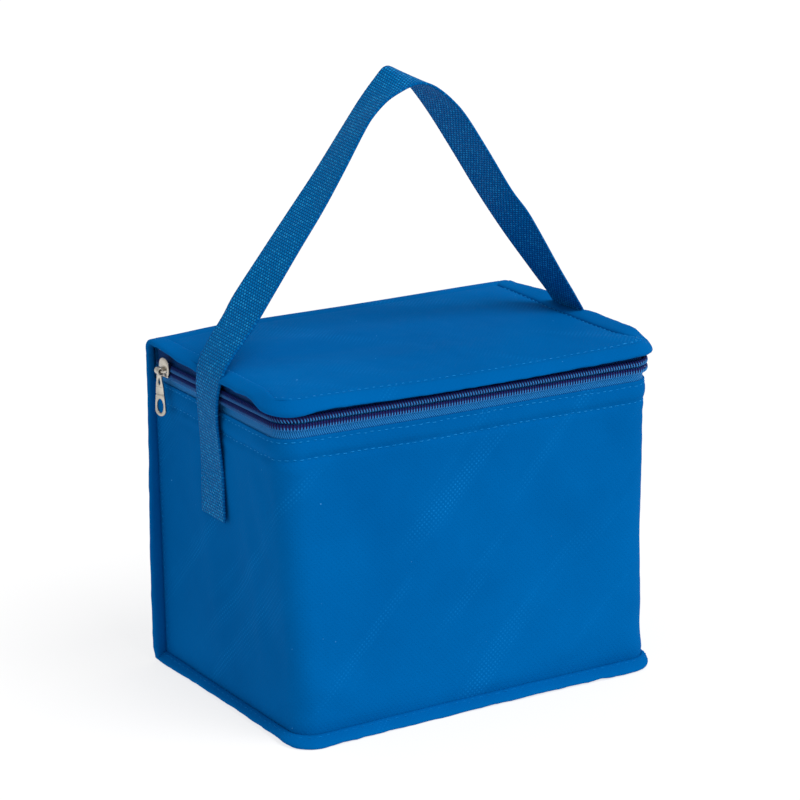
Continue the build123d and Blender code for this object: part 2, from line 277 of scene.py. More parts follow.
def wall_swell(s, z):
    """How far the padded wall stands out from its plan at that place, in mm."""
    ends = smooth(s_at(BACK_Y) - np.abs(s), 0, 26)
    corner = bump(np.abs(s), FLAT_HALF + 9, 16)
    front = 1 - smooth(np.abs(s), 86, 100)
    left, right = (s < 0) * (1 - front), (s > 0) * (1 - front)
    low, high = smooth(z, 4, 30), 1 - smooth(z, 128, 142)
    out = -1.3 * np.sin(np.pi * np.clip(z / 142, 0, 1)) * (0.35 + 0.65 * (left + right)) * (1 - 0.5 * corner)
    out += front * 1.1 * np.sin(np.pi * np.clip(z / 142, 0, 1)) ** 0.8 * np.cos(np.pi * s / 215)
    out -= right * 0.9 * bump(z, 70, 45)
    # long soft folds in the side panels, and the diagonal ones below the front's corners
    for at, slope, width, depth, centre, length in (
        (-140, 0.10, 7, 1.1, 75, 60), (-163, -0.16, 9, -1.0, 62, 50), (-190, 0.22, 8, 1.2, 84, 55),
        (-214, -0.12, 7, -0.8, 92, 60), (-128, 0.32, 8, 0.8, 116, 30), (146, 0.14, 9, 1.0, 70, 55),
        (176, -0.2, 8, -0.9, 82, 50), (208, 0.16, 8, 0.9, 76, 60), (-84, 0.5, 9, 0.45, 112, 26),
        (-30, 0.9, 13, 0.38, 92, 40), (38, -0.7, 14, -0.35, 70, 44), (80, 0.45, 10, 0.4, 100, 34),
    ):
        out += low * high * depth * bump(s + slope * (z - centre), at, width) * bump(z, centre, length)
    # the zip side bunches in short pleats where the flange covers it
    sides = left + right
    out += sides * 0.55 * np.sin(z / 2.3 + 0.02 * s) * bump(z, 137, 6) * (0.5 + 0.5 * np.sin(s / 17.0))
    # two stitch rows pull the hem in, and it puffs between them
    out -= 0.7 * bump(z, HEM_STITCH_LOW, 1.9) * (1 + 0.25 * np.sin(s / 2.1))
    out += 0.45 * bump(z, 147.2, 3.0) * (1 + 0.35 * np.sin(s / 6.3 + 1.0))
    out -= 0.28 * bump(z, HEM_STITCH_HIGH, 0.9)
    out += 0.35 * bump(z, 11, 5) * np.sin(s / 13.0 + 0.8)
    out += 0.8 * bump(z, 149, 8) * bump(s, 108, 13)
    out -= 0.5 * bump(z, 5.2, 2.0)
    out += 1.0 * read_grid(WALL_SETTLED, WALL_S, WALL_Z, s, z) * (z < 141)
    return out * ends


def wall(s, z, inset):
    """Points on the bag's wall, in mm: along the rim, up, and in from the outside."""
    s, z, inset = np.broadcast_arrays(*(np.asarray(v, float) for v in (s, z, inset)))
    base, out = rim(s)
    p = with_z(base + out * (wall_swell(s, z) - inset)[..., None], z)
    away_from_seams = smooth(z, 3, 14) * (1 - smooth(z, 150, 156)) * smooth(s_at(BACK_Y) - np.abs(s), 0, 12)
    fine = rough(p, 17, 1) * 0.22 * away_from_seams
    p[..., :2] += out * fine[..., None]
    return lean(p)


LEFT_IN, RIGHT_IN = 4.0, 5.0                      # how far inside the rim the lid's side seams lie


def side_seam(s):
    """How far inside the rim the lid's seam lies, at a place along the rim."""
    return LEFT_IN * smooth(-s, 98, 126) + RIGHT_IN * smooth(s, 98, 126)


def lid_lift(x, y):
    """The lid's crown and its wrinkles, above its plan, in mm."""
    inset = np.where(x < 0, LEFT_IN, RIGHT_IN) * smooth(y, -68, -46)
    edge = np.minimum(np.minimum(HALF_W - inset - np.abs(x), y - FRONT_Y), (66 - y) * 0.8)
    inside = smooth(edge, 2, 22)
    lift = 1.7 * smooth(edge, 0, 46)
    # the seam pulls its groove in, and the very edge turns down
    lift -= (0.40 + 0.35 * (inset > 0)) * bump(edge, 2.2, 1.1)
    lift -= 1.5 * (1 - smooth(edge, 0, 1.9)) * (y < 64)
    for height, slope, at, width, centre, length in (
        (0.75, 0.16, 12, 10, -52, 46), (-0.65, 0.10, -10, 8, -46, 44), (0.5, 0.05, -34, 9, -18, 60),
        (-0.45, -0.12, 34, 9, 30, 56), (0.4, -0.2, -20, 10, 64, 30),
    ):
        lift += inside * height * bump(y + slope * x, at, width) * bump(x, centre, length)
    near = bump(x, -98, 26) * bump(y, -66, 24)
    lift += 0.9 * inside * read_grid(LID_SETTLED, LID_X, LID_Y, x, y)
    return lift - 0.9 * near


# ---------------------------------------------------------------- meshes
def finish_mesh(name, verts, faces, loops_uv=None):
    """A smooth-shaded object from points in mm, with the cloth's own coordinates where given."""
    mesh = bpy.data.meshes.new(name)
    mesh.from_pydata((np.asarray(verts, float) * MM).tolist(), [], faces)
    if loops_uv is not None:
        layer = mesh.uv_layers.new(name="cloth")
        corner = np.empty(len(mesh.loops), np.int64)
        mesh.loops.foreach_get("vertex_index", corner)
        layer.data.foreach_set("uv", (np.asarray(loops_uv, float)[corner] * MM).ravel())
    bm = bmesh.new()
    bm.from_mesh(mesh)
    bmesh.ops.remove_doubles(bm, verts=bm.verts, dist=1e-6)
    bmesh.ops.dissolve_degenerate(bm, dist=1e-7, edges=bm.edges)
    bmesh.ops.recalc_face_normals(bm, faces=bm.faces)
    bm.to_mesh(mesh)
    bm.free()
    mesh.polygons.foreach_set("use_smooth", [True] * len(mesh.polygons))
    piece = bpy.data.objects.new(name, mesh)
    bpy.context.scene.collection.objects.link(piece)
    return piece


def grid_normals(p, wrap):
    """Unit normals of a grid of points."""
    du = np.gradient(p, axis=0)
    if wrap:
        dv = (np.roll(p, -1, 1) - np.roll(p, 1, 1)) / 2
    else:
        dv = np.gradient(p, axis=1)
    n = np.cross(du, dv)
    return n / np.maximum(np.linalg.norm(n, axis=-1, keepdims=True), 1e-9)


def slab(name, p, thick, uv, wrap=False):
    """A closed sheet of cloth or foam: a grid of middle points given a thickness and rounded edges."""
    rows, cols = p.shape[:2]
    half = np.broadcast_to(np.asarray(thick, float) / 2, (rows, cols))[..., None]
    normal = grid_normals(p, wrap)
    verts = [(p + normal * half).reshape(-1, 3), (p - normal * half).reshape(-1, 3)]
    uvs = [uv.reshape(-1, 2)] * 2
    count, faces = rows * cols, []
    index = np.arange(count).reshape(rows, cols)
    for i in range(rows - 1):
        for j in range(cols if wrap else cols - 1):
            a, b = index[i, j], index[i, (j + 1) % cols]
            c, d = index[i + 1, (j + 1) % cols], index[i + 1, j]
            faces += [(a, b, c, d), (a + count, d + count, c + count, b + count)]
    if wrap:
        loops = [([(0, j) for j in range(cols)], [(1, j) for j in range(cols)]),
                 ([(rows - 1, j) for j in range(cols)], [(rows - 2, j) for j in range(cols)])]
    else:
        edge = [(0, j) for j in range(cols)] + [(i, cols - 1) for i in range(1, rows)]
        edge += [(rows - 1, j) for j in range(cols - 2, -1, -1)] + [(i, 0) for i in range(rows - 2, 0, -1)]
        loops = [(edge, [(min(max(i, 1), rows - 2), min(max(j, 1), cols - 2)) for i, j in edge])]
    start = 2 * count
    for edge, inner in loops:
        e, k = np.array(edge), np.array(inner)
        out = p[e[:, 0], e[:, 1]] - p[k[:, 0], k[:, 1]]
        out /= np.maximum(np.linalg.norm(out, axis=-1, keepdims=True), 1e-9)
        verts.append(p[e[:, 0], e[:, 1]] + out * half[e[:, 0], e[:, 1]] * 0.8)
        uvs.append(uv[e[:, 0], e[:, 1]])
        n = len(edge)
        for q in range(n):
            r = (q + 1) % n
            a, b = index[tuple(edge[q])], index[tuple(edge[r])]
            faces += [(a, b, start + r, start + q), (b + count, a + count, start + q, start + r)]
        start += n
    return finish_mesh(name, np.concatenate(verts), faces, np.concatenate(uvs))


def sweep(name, loops):
    """A closed skin over a row of closed loops, with its two ends rounded in."""
    n, m = loops.shape[:2]
    uv = np.stack(grid(run_along(loops.mean(1)), run_along(loops[n // 2])), -1)
    index = np.arange(n * m).reshape(n, m)
    faces = [(index[i, j], index[i, (j + 1) % m], index[i + 1, (j + 1) % m], index[i + 1, j])
             for i in range(n - 1) for j in range(m)]
    verts, uvs, start = [loops.reshape(-1, 3)], [uv.reshape(-1, 2)], n * m
    for i, step in ((0, 1), (n - 1, -1)):
        centre = loops[i].mean(0)
        out = centre - loops[i + step].mean(0)
        reach = np.linalg.norm(loops[i] - centre, axis=1).min()
        out *= reach * 0.5 / max(np.linalg.norm(out), 1e-9)
        verts += [centre + (loops[i] - centre) * 0.6 + out * 0.8, (centre + out)[None]]
        uvs += [uv[i], uv[i][:1]]
        ring, tip = np.arange(start, start + m), start + m
        for j in range(m):
            k = (j + 1) % m
            faces += [(index[i, j], index[i, k], ring[k], ring[j]), (ring[j], ring[k], tip)]
        start += m + 1
    return finish_mesh(name, np.concatenate(verts), faces, np.concatenate(uvs))


def band(centre, direction, across, length, thick, sides=14):
    """Loops of a soft flat band: it leaves a seam at centre and stands out along direction."""
    t = circle(sides)
    long, wide = np.cos(t), np.sin(t)
    squared = np.sign(long) * np.abs(long) ** 0.62, np.sign(wide) * np.abs(wide) ** 0.8
    length, thick = (np.broadcast_to(v, centre.shape[:1])[:, None, None] for v in (length, thick))
    return (centre[:, None] + direction[:, None] * (squared[0][None, :, None] * 0.5 + 0.5) * length
            + across[:, None] * squared[1][None, :, None] * thick / 2)


def ovals(line, over, up, wide, high, sides):
    """A closed oval round each point of a line: half its width goes along over, half its height along up."""
    a = circle(sides)[None, :, None]
    return line[:, None] + over[:, None] * (np.cos(a) * wide) + up[:, None] * (np.sin(a) * high)


def closed_grid(name, p):
    """A skin over a grid of points that closes both ways."""
    n, m = p.shape[:2]
    index = np.arange(n * m).reshape(n, m)
    faces = [(index[i, j], index[i, (j + 1) % m], index[(i + 1) % n, (j + 1) % m], index[(i + 1) % n, j])
             for i in range(n) for j in range(m)]
    return finish_mesh(name, p.reshape(-1, 3), faces, p.reshape(-1, 3)[:, 1:])


def dashes(name, path, normal, dash=2.6, gap=1.2, wide=0.5, high=0.4, seed=3, wander=0.25):
    """A row of stitches along a path, each a small twisted grain of thread half sunk in the cloth."""
    steps = run_along(path)
    rng = np.random.default_rng(seed)
    count = int(steps[-1] // (dash + gap))
    rings, sides = np.array([-1, -0.75, -0.3, 0.3, 0.75, 1.0]), 6
    girth = np.array([0.25, 0.75, 1.0, 1.0, 0.75, 0.25])
    verts, faces, uvs = [], [], []
    for k in range(count):
        mid = (k + 0.5) * (dash + gap) + rng.uniform(-0.15, 0.15)
        at = np.clip(mid + rings * dash / 2 * rng.uniform(0.7, 1.12), 0, steps[-1])
        p = np.stack([np.interp(at, steps, path[:, c]) for c in range(3)], -1)
        up = unit(np.stack([np.interp(at, steps, normal[:, c]) for c in range(3)], -1))
        ahead = unit(p[-1] - p[0])
        over = unit(np.cross(np.broadcast_to(ahead, up.shape), up))
        p = p + over * (rng.uniform(-wander, wander) + rings[:, None] * rng.uniform(-wander, wander) * 0.5)
        p = p - up * (high * 0.9 * np.abs(rings[:, None]) ** 3)
        first = len(verts) * sides * len(rings)
        angle = circle(sides)
        ring = (p[:, None] + over[:, None] * (np.cos(angle)[None, :, None] * girth[:, None, None] * wide / 2)
                + up[:, None] * (np.sin(angle)[None, :, None] * girth[:, None, None] * high / 2))
        verts.append(ring.reshape(-1, 3))
        uvs.append(np.stack(np.broadcast_arrays(at[:, None], angle[None] * wide / 2), -1).reshape(-1, 2))
        for i in range(len(rings) - 1):
            for j in range(sides):
                a, b = first + i * sides + j, first + i * sides + (j + 1) % sides
                faces.append((a, b, b + sides, a + sides))
        faces.append(tuple(first + j for j in range(sides - 1, -1, -1)))
        faces.append(tuple(first + (len(rings) - 1) * sides + j for j in range(sides)))
    return finish_mesh(name, np.concatenate(verts), faces, np.concatenate(uvs))


def join(name, parts):
    """One piece out of several."""
    bm = bmesh.new()
    for part in parts:
        part.data.transform(part.matrix_world)
        bm.from_mesh(part.data)
        bpy.data.objects.remove(part)
    mesh = bpy.data.meshes.new(name)
    bm.to_mesh(mesh)
    bm.free()
    piece = bpy.data.objects.new(name, mesh)
    bpy.context.scene.collection.objects.link(piece)
    return piece


# ---------------------------------------------------------------- materials
class Finish:
    """A material being built, node by node."""

    def __init__(self, name):
        self.made = bpy.data.materials.new(name)
        self.made.use_nodes = True
        self.tree = self.made.node_tree
        self.skin = self.tree.nodes["Principled BSDF"]

    def put(self, socket, value):
        if isinstance(value, bpy.types.NodeSocket):
            self.tree.links.new(value, socket)
        else:
            socket.default_value = value

    def node(self, kind, out=0, props=(), **inputs):
        n = self.tree.nodes.new(kind)
        for k, v in dict(props).items():
            setattr(n, k, v)
        for k, v in inputs.items():
            key = int(k[1:]) if k[0] == "i" and k[1:].isdigit() else k.replace("_", " ")
            self.put(n.inputs[key], v)
        return n.outputs[out]

    def math(self, op, *values):
        inputs = {f"i{k}": v for k, v in enumerate(values)}
        return self.node("ShaderNodeMath", props={"operation": op}, **inputs)

    def mul(self, a, b):
        return self.math("MULTIPLY", a, b)

    def add(self, a, b):
        return self.math("ADD", a, b)

    def sub(self, a, b):
        return self.math("SUBTRACT", a, b)

    def split(self, vector):
        n = self.tree.nodes.new("ShaderNodeSeparateXYZ")
        self.put(n.inputs[0], vector)
        return n.outputs[0], n.outputs[1], n.outputs[2]

    def cloth_mm(self):
        """The cloth's own coordinates in mm."""
        uv = self.node("ShaderNodeUVMap", props={"uv_map": "cloth"})
        u, v, _ = self.split(uv)
        return self.mul(u, 1 / MM), self.mul(v, 1 / MM)

    def place(self):
        return self.node("ShaderNodeTexCoord", out=3)

    def noise(self, scale, detail=3.0, vector=None, rough=0.55, distort=0.0):
        return self.node("ShaderNodeTexNoise", Vector=vector or self.place(), Scale=scale, Detail=detail,
                         Roughness=rough, Distortion=distort)

    def ramp(self, value, low, high, a=0.0, b=1.0):
        return self.node("ShaderNodeMapRange", props={"clamp": True}, Value=value,
                         i1=low, i2=high, i3=a, i4=b)

    def mix(self, factor, a, b):
        return self.node("ShaderNodeMix", out=2, props={"data_type": "RGBA"}, i0=factor, i6=a, i7=b)

    def tint(self, tone, colour, where, amount):
        """That much of a colour over the tone, where a mask from 0 to 1 lets it through."""
        return self.mix(self.mul(where, amount), tone, colour)

    def bump(self, height, distance, strength=1.0, over=None):
        inputs = {"Height": height, "Distance": distance, "Strength": strength}
        if over is not None:
            inputs["Normal"] = over
        return self.node("ShaderNodeBump", **inputs)

    def vector(self, x, y, z=0.0):
        return self.node("ShaderNodeCombineXYZ", i0=x, i1=y, i2=z)

    def surface(self, colour, roughness, normal, **skin):
        """Connects the three, sets the skin's other inputs by name, and gives the finished material."""
        for key, value in {"Base_Color": colour, "Roughness": roughness, "Normal": normal, **skin}.items():
            self.put(self.skin.inputs[key.replace("_", " ")], value)
        return self.made


def rgb(r, g, b):
    return (r, g, b, 1.0)


DOT_PITCH = 2.5                                   # mm, along either slant


def dot_cloth(name, base, light, deep, sparkle=1.0, emboss=1.0, mottle=0.5):
    """Spun-bonded cloth: embossed dots in slanting rows, fibres, blotches, slanting bands of painted glints
    and scattered painted glint specks.
    """
    f = Finish(name)
    u, v = f.cloth_mm()
    a = f.mul(f.add(u, f.mul(v, 0.9)), math.pi / DOT_PITCH)
    b = f.mul(f.sub(f.mul(u, 0.9), v), math.pi / DOT_PITCH)
    dots = f.math("ABSOLUTE", f.mul(f.math("SINE", a), f.math("SINE", b)))
    dots = f.ramp(dots, 0.5, 0.95)
    fibre = f.noise(1500.0, 4.0, rough=0.7)
    blotch = f.noise(26.0, 4.0, rough=0.6)
    wide = f.noise(9.0, 2.0)
    # the slanting bands and the grain choose where the dots get painted glints
    slant = f.vector(f.mul(f.add(u, v), 0.0045), f.mul(f.sub(u, v), 0.03))
    bands = f.ramp(f.noise(1.0, 2.0, vector=slant), 0.54, 0.70)
    grain = f.ramp(f.noise(900.0, 2.0, rough=0.8), 0.55, 0.75)
    glint = f.mul(f.mul(dots, bands), f.add(f.mul(grain, 0.9), 0.45))
    # painted glints: small bright specks painted into the colour
    glint_speck = f.ramp(f.noise(330.0, 1.0), 0.80, 0.86)
    tone = f.mix(f.mul(f.ramp(blotch, 0.3, 0.72), mottle), base, deep)
    tone = f.tint(tone, light, f.ramp(wide, 0.35, 0.7), 0.30)
    tone = f.tint(tone, deep, f.ramp(fibre, 0.35, 0.7), 0.30)
    tone = f.tint(tone, deep, dots, 0.09)
    # painted glints: light blue painted over the dots inside the slanting bands
    tone = f.tint(tone, rgb(0.010, 0.27, 0.74), glint, sparkle * 0.62)
    tone = f.tint(tone, rgb(0.10, 0.42, 0.85), glint_speck, 0.8)
    roughness = f.ramp(f.add(f.mul(dots, 0.4), fibre), 0.3, 1.1, 0.74, 0.52)
    normal = f.bump(f.mul(dots, -1.0), 0.00006 * emboss)
    normal = f.bump(fibre, 0.00007, over=normal)
    normal = f.bump(blotch, 0.0012, 0.35, over=normal)
    return f.surface(tone, roughness, normal, Specular_IOR_Level=0.004, Specular_Tint=rgb(0.1, 0.5, 1.0),
                     Sheen_Weight=0.06, Sheen_Roughness=0.45, Sheen_Tint=rgb(0.0, 0.4, 1.0))


WEAVE_ROW, WEAVE_COL = 1.5, 1.9                   # mm, along and across the strap
STRAP_WIDTH, STRAP_THICK = 25.0, 1.25


def webbing(name):
    """Woven polypropylene strap: rows of short floats across the width, each row shifted by half a float,
    with painted shade between the floats and painted glints on some of them.
    """
    f = Finish(name)
    u, v = f.cloth_mm()                           # u along the strap, v across it
    row = f.math("DIVIDE", u, WEAVE_ROW)
    whole = f.math("FLOOR", row)
    in_row = f.sub(row, whole)
    odd = f.mul(f.math("MODULO", whole, 2.0), 0.5)
    col = f.add(f.math("DIVIDE", v, WEAVE_COL), odd)
    in_col = f.math("FRACT", col)
    ridge = f.math("POWER", f.math("SINE", f.mul(in_row, math.pi)), 0.7)
    over = f.math("SINE", f.mul(in_col, math.pi))
    floats = f.mul(ridge, over)
    fibre = f.noise(1700.0, 3.0)
    cell = f.node("ShaderNodeTexWhiteNoise", props={"noise_dimensions": "3D"},
                  Vector=f.vector(whole, f.math("FLOOR", col)))
    # painted light and shade of the weave: the floats' tops painted light, the gaps between them painted dark
    tone = f.mix(f.ramp(floats, 0.12, 0.72), rgb(0.0, 0.052, 0.19), rgb(0.0, 0.165, 0.46))
    # painted glints: some floats, picked at random, painted bright light blue
    tone = f.tint(tone, rgb(0.02, 0.36, 0.76), f.ramp(cell, 0.5, 0.95), f.mul(f.ramp(floats, 0.4, 0.9), 0.7))
    tone = f.tint(tone, rgb(0.0, 0.06, 0.24), f.ramp(fibre, 0.4, 0.7), 0.18)
    edge = f.ramp(f.math("ABSOLUTE", f.sub(v, STRAP_WIDTH / 2)), 11.3, 12.1)
    tone = f.tint(tone, rgb(0.0, 0.07, 0.27), edge, 0.5)
    normal = f.bump(fibre, 0.00008, over=f.bump(floats, 0.00022))
    return f.surface(tone, 0.5, normal, Specular_IOR_Level=0.02, Specular_Tint=rgb(0.2, 0.6, 1.0),
                     Sheen_Weight=0.03, Sheen_Tint=rgb(0.0, 0.5, 1.0))


def twill(name, dark, light):
    """Zip tape: fine slanting ribs, painted light on their tops and dark in their grooves."""
    f = Finish(name)
    u, v = f.cloth_mm()
    rib = f.math("SINE", f.mul(f.add(u, f.mul(v, 0.8)), 2 * math.pi / 1.15))
    pick = f.math("SINE", f.mul(f.sub(u, f.mul(v, 2.2)), 2 * math.pi / 0.8))
    weave = f.add(f.mul(rib, 0.75), f.mul(pick, 0.25))
    fibre = f.noise(2000.0, 3.0)
    # painted light and shade: the colour follows the ribs' height, light on top and dark in the grooves
    tone = f.mix(f.ramp(weave, -0.6, 0.7), dark, light)
    tone = f.tint(tone, dark, f.ramp(fibre, 0.4, 0.7), 0.3)
    return f.surface(tone, 0.55, f.bump(weave, 0.00016), Specular_IOR_Level=0.08,
                     Sheen_Weight=0.04, Sheen_Tint=rgb(0.0, 0.5, 1.0))


def strand(name, dark, light, gloss=0.35):
    """Thread or nylon wire: fine lengthwise fibres and slight colour change."""
    f = Finish(name)
    fibre = f.noise(2600.0, 3.0, rough=0.7)
    wide = f.noise(160.0, 2.0)
    tone = f.mix(f.ramp(fibre, 0.35, 0.7), light, dark)
    tone = f.tint(tone, dark, f.ramp(wide, 0.4, 0.65), 0.5)
    return f.surface(tone, f.ramp(fibre, 0.3, 0.7, gloss, gloss + 0.15), f.bump(fibre, 0.00004),
                     Specular_IOR_Level=0.06, Specular_Tint=rgb(0.5, 0.8, 1.0))


def nylon(name):
    """Coil wire: a painted highlight on the lower turns, where it faces the light, weaker on the bag's sides,
    and painted shade, deep blue, up inside the rows.
    """
    f = Finish(name)
    x, _, z = f.split(f.place())
    z = f.mul(z, 1000.0)
    # the painted highlight is weaker on the bag's sides, which stand in shade
    front_highlight = f.ramp(f.math("ABSOLUTE", x), 0.1028, 0.1046, 1.0, 0.42)
    low_row = f.mul(f.ramp(z, 159.9, 159.1), f.ramp(z, 156.8, 157.3))
    high_row = f.mul(f.ramp(z, 163.8, 163.0), f.ramp(z, 161.2, 161.7))
    fibre = f.noise(2600.0, 3.0, rough=0.7)
    lit = f.mul(f.math("MAXIMUM", low_row, high_row), f.ramp(fibre, 0.3, 0.6, 0.65, 1.0))
    lit = f.mul(lit, front_highlight)
    tone = f.mix(lit, rgb(0.010, 0.024, 0.15), rgb(0.045, 0.28, 0.68))
    return f.surface(tone, f.ramp(fibre, 0.3, 0.7, 0.28, 0.42), f.bump(fibre, 0.00004),
                     Specular_IOR_Level=0.15, Specular_Tint=rgb(0.4, 0.7, 1.0))


def foil(name):
    """Silver lining film: fine crazing and soft creases."""
    f = Finish(name)
    crease = f.noise(60.0, 6.0, rough=0.65, distort=0.6)
    craze = f.node("ShaderNodeTexVoronoi", props={"feature": "DISTANCE_TO_EDGE"},
                   Vector=f.place(), Scale=220.0)
    tone = f.mix(f.ramp(crease, 0.3, 0.7), rgb(0.30, 0.31, 0.33), rgb(0.46, 0.47, 0.49))
    normal = f.bump(f.ramp(craze, 0.0, 0.08), 0.00012, over=f.bump(crease, 0.0016, 0.7))
    return f.surface(tone, f.ramp(crease, 0.3, 0.7, 0.3, 0.48), normal, Metallic=0.85)


def sponge(name):
    """Closed-cell foam sheet."""
    f = Finish(name)
    cells = f.node("ShaderNodeTexVoronoi", Vector=f.place(), Scale=1400.0)
    wide = f.noise(40.0, 3.0)
    tone = f.mix(f.ramp(cells, 0.1, 0.6), rgb(0.80, 0.80, 0.78), rgb(0.60, 0.61, 0.60))
    tone = f.tint(tone, rgb(0.66, 0.66, 0.62), f.ramp(wide, 0.4, 0.7), 0.25)
    return f.surface(tone, 0.85, f.bump(cells, 0.00025))


def nickel(name):
    """Nickel-plated die casting, lightly brushed and rubbed."""
    f = Finish(name)
    scratch = f.noise(500.0, 5.0, rough=0.7)
    wear = f.noise(120.0, 3.0)
    tone = f.mix(f.ramp(wear, 0.35, 0.7), rgb(0.66, 0.61, 0.53), rgb(0.40, 0.37, 0.33))
    return f.surface(tone, f.ramp(scratch, 0.3, 0.7, 0.24, 0.38), f.bump(scratch, 0.00003), Metallic=1.0)


BLUE, BLUE_LIGHT, BLUE_DEEP = rgb(0.0, 0.106, 0.352), rgb(0.0, 0.152, 0.475), rgb(0.0, 0.080, 0.28)
COVER = dot_cloth("cover_cloth", BLUE, BLUE_LIGHT, BLUE_DEEP)
BIND = dot_cloth("binding_cloth", BLUE, BLUE_LIGHT, BLUE_DEEP, sparkle=0.6, emboss=0.7, mottle=0.4)
WEB = webbing("strap_webbing")
TAPE = twill("zip_tape_twill", rgb(0.0, 0.085, 0.32), rgb(0.03, 0.30, 0.72))
# the same tape painted dark: painted shade for the upper tape under the lid's band
TAPE_PAINTED_SHADE = twill("zip_tape_painted_shade", rgb(0.0, 0.018, 0.10), rgb(0.0, 0.050, 0.22))
COIL = nylon("coil_nylon")
CORE = strand("coil_core", rgb(0.012, 0.010, 0.075), rgb(0.045, 0.020, 0.13), gloss=0.6)
THREAD = strand("sewing_thread", rgb(0.0, 0.145, 0.45), rgb(0.015, 0.27, 0.64), gloss=0.5)
THREAD_DEEP = strand("seam_thread", rgb(0.0, 0.10, 0.34), rgb(0.0, 0.165, 0.50), gloss=0.5)
FOIL, FOAM, METAL = foil("silver_film"), sponge("foam_sheet"), nickel("plated_metal")


def dress(piece, material, slot, body, *nodes):
    """Sets material, replaced CAD nodes and body; slot is not used. A piece with no body stays without a
    parent.
    """
    piece.data.materials.clear()
    piece.data.materials.append(material)
    if nodes:
        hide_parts(*nodes)
    if body:
        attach(piece, body)
    return piece


# ---------------------------------------------------------------- body cover
S_BACK = s_at(71.9)
along = np.arange(-S_BACK, S_BACK + 0.1, 2 * S_BACK / 220)
up = np.concatenate([np.arange(0.9, 133, 2.6), np.arange(133, HEM_Z + 0.01, 0.75)])
S, Z = grid(along, up)
wrap = slab("body_wrap", wall(S, Z, 0.4), 0.8, np.stack([S, Z], -1))
dress(wrap, COVER, "cover_fabric", "bag_body", "side_cover")

S_HEM = s_at(63.9)
S, Z = grid(np.linspace(-S_HEM, S_HEM, 200), np.linspace(141.2, 152.9, 13))
facing = slab("hem_turn", wall(S, Z, 1.8), 0.55, np.stack([S, Z + 30], -1))
dress(facing, COVER, "cover_fabric", "bag_body", "hem_facing")


# ---------------------------------------------------------------- base, back, fold and lid in one strip
def strip_half(y, inset=0.4):
    """Half the strip's width where its corners round off at the front."""
    r = CORNER_R - inset
    drop = np.clip(-(y - CORNER_Y), 0, r * 0.9995)
    return FLAT_HALF + np.sqrt(r * r - drop * drop)


turn = np.linspace(0, math.pi / 2, 10)
front_in = CORNER_Y - (CORNER_R - 0.4) * np.sin(turn)[::-1]
base_y = np.concatenate([front_in, np.arange(-57.5, 70.5, 3.2)])
back_z = np.concatenate([[0.75, 1.6], np.arange(4.0, 168, 3.2)])
fold_a = np.linspace(-0.25, math.pi / 2, 9)
lid_y = np.concatenate([np.arange(68.2, -58, -2.2), front_in[::-1]])
FOLD_R, BASE_MID_Z = 2.1, 0.4                     # the fold's radius, and the middle of the base's cloth
fold_y, fold_z = FOLD_Y + FOLD_R * np.cos(fold_a), FOLD_Z + FOLD_R * np.sin(fold_a)
back_y = np.where(back_z < 1, 71.3, 72.1)
path_y = np.concatenate([base_y, back_y, fold_y, lid_y])
path_z = np.concatenate([BASE_MID_Z + 0 * base_y, back_z[:1] * 0.75, back_z[1:], fold_z, LID_Z + 0 * lid_y])
run_mm = np.concatenate([[0], np.cumsum(np.hypot(np.diff(path_y), np.diff(path_z)))])
kind = np.concatenate([0 * base_y, 1 + 0 * back_z, 2 + 0 * fold_a, 3 + 0 * lid_y])
half_w = np.where(kind == 1, 104.6, strip_half(path_y)) - 1.6 * bump(run_mm, run_mm[kind == 2].mean(), 5)
cols = np.linspace(-1, 1, 86)
X = half_w[:, None] * cols[None]
Y, Z = np.broadcast_arrays(path_y[:, None], X)[0].copy(), np.broadcast_arrays(path_z[:, None], X)[0].copy()
on_lid = (kind == 3)[:, None]
on_back = (kind == 1)[:, None]
P = np.stack([X, Y, Z], -1)
P[..., 2] += np.where(on_lid, lid_lift(X, Y) + 0.16 * rough(P, 20, 5) * smooth(66 - Y, 0, 14), 0)
back_soft = np.sin(np.pi * np.clip(Z / 168, 0, 1)) * smooth(104 - np.abs(X), 0, 30)
back_fold = 0.0
for height, slope, at, width, centre, length in (
    (0.9, 0.2, 10, 12, 80, 50), (-0.8, -0.15, -52, 10, 90, 40), (0.7, 0.1, 62, 11, 96, 44),
):
    back_fold = back_fold + height * bump(X + slope * Z, at, width) * bump(Z, centre, length)
P[..., 1] += np.where(on_back, back_soft * (0.9 + 0.7 * back_fold + 0.2 * rough(P, 18, 9)), 0)
strip = slab("cover_strip", lean(P), 0.8, np.stack([X, np.broadcast_to(run_mm[:, None], X.shape)], -1))
dress(strip, COVER, "cover_fabric", None, "base_cover", "back_cover", "hinge_fold", "lid_cover")
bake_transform(strip)


# ---------------------------------------------------------------- padding and lining
def box_mm(node):
    low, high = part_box(node)
    return np.array(low) / MM, np.array(high) / MM


S_FOAM = s_at(67.6)
foam_z = np.concatenate([np.arange(4.8, 140, 5), [141.2, 144, 148, 150.9]])
S, Z = grid(np.linspace(-S_FOAM, S_FOAM, 120), foam_z)
upper = smooth(Z, 139, 143)
pad = slab("side_padding", wall(S, Z, 2.6 + 0.72 * upper), 3.1 - 1.3 * upper, np.stack([S, Z], -1))
dress(pad, FOAM, "foam", "bag_body", "side_foam")


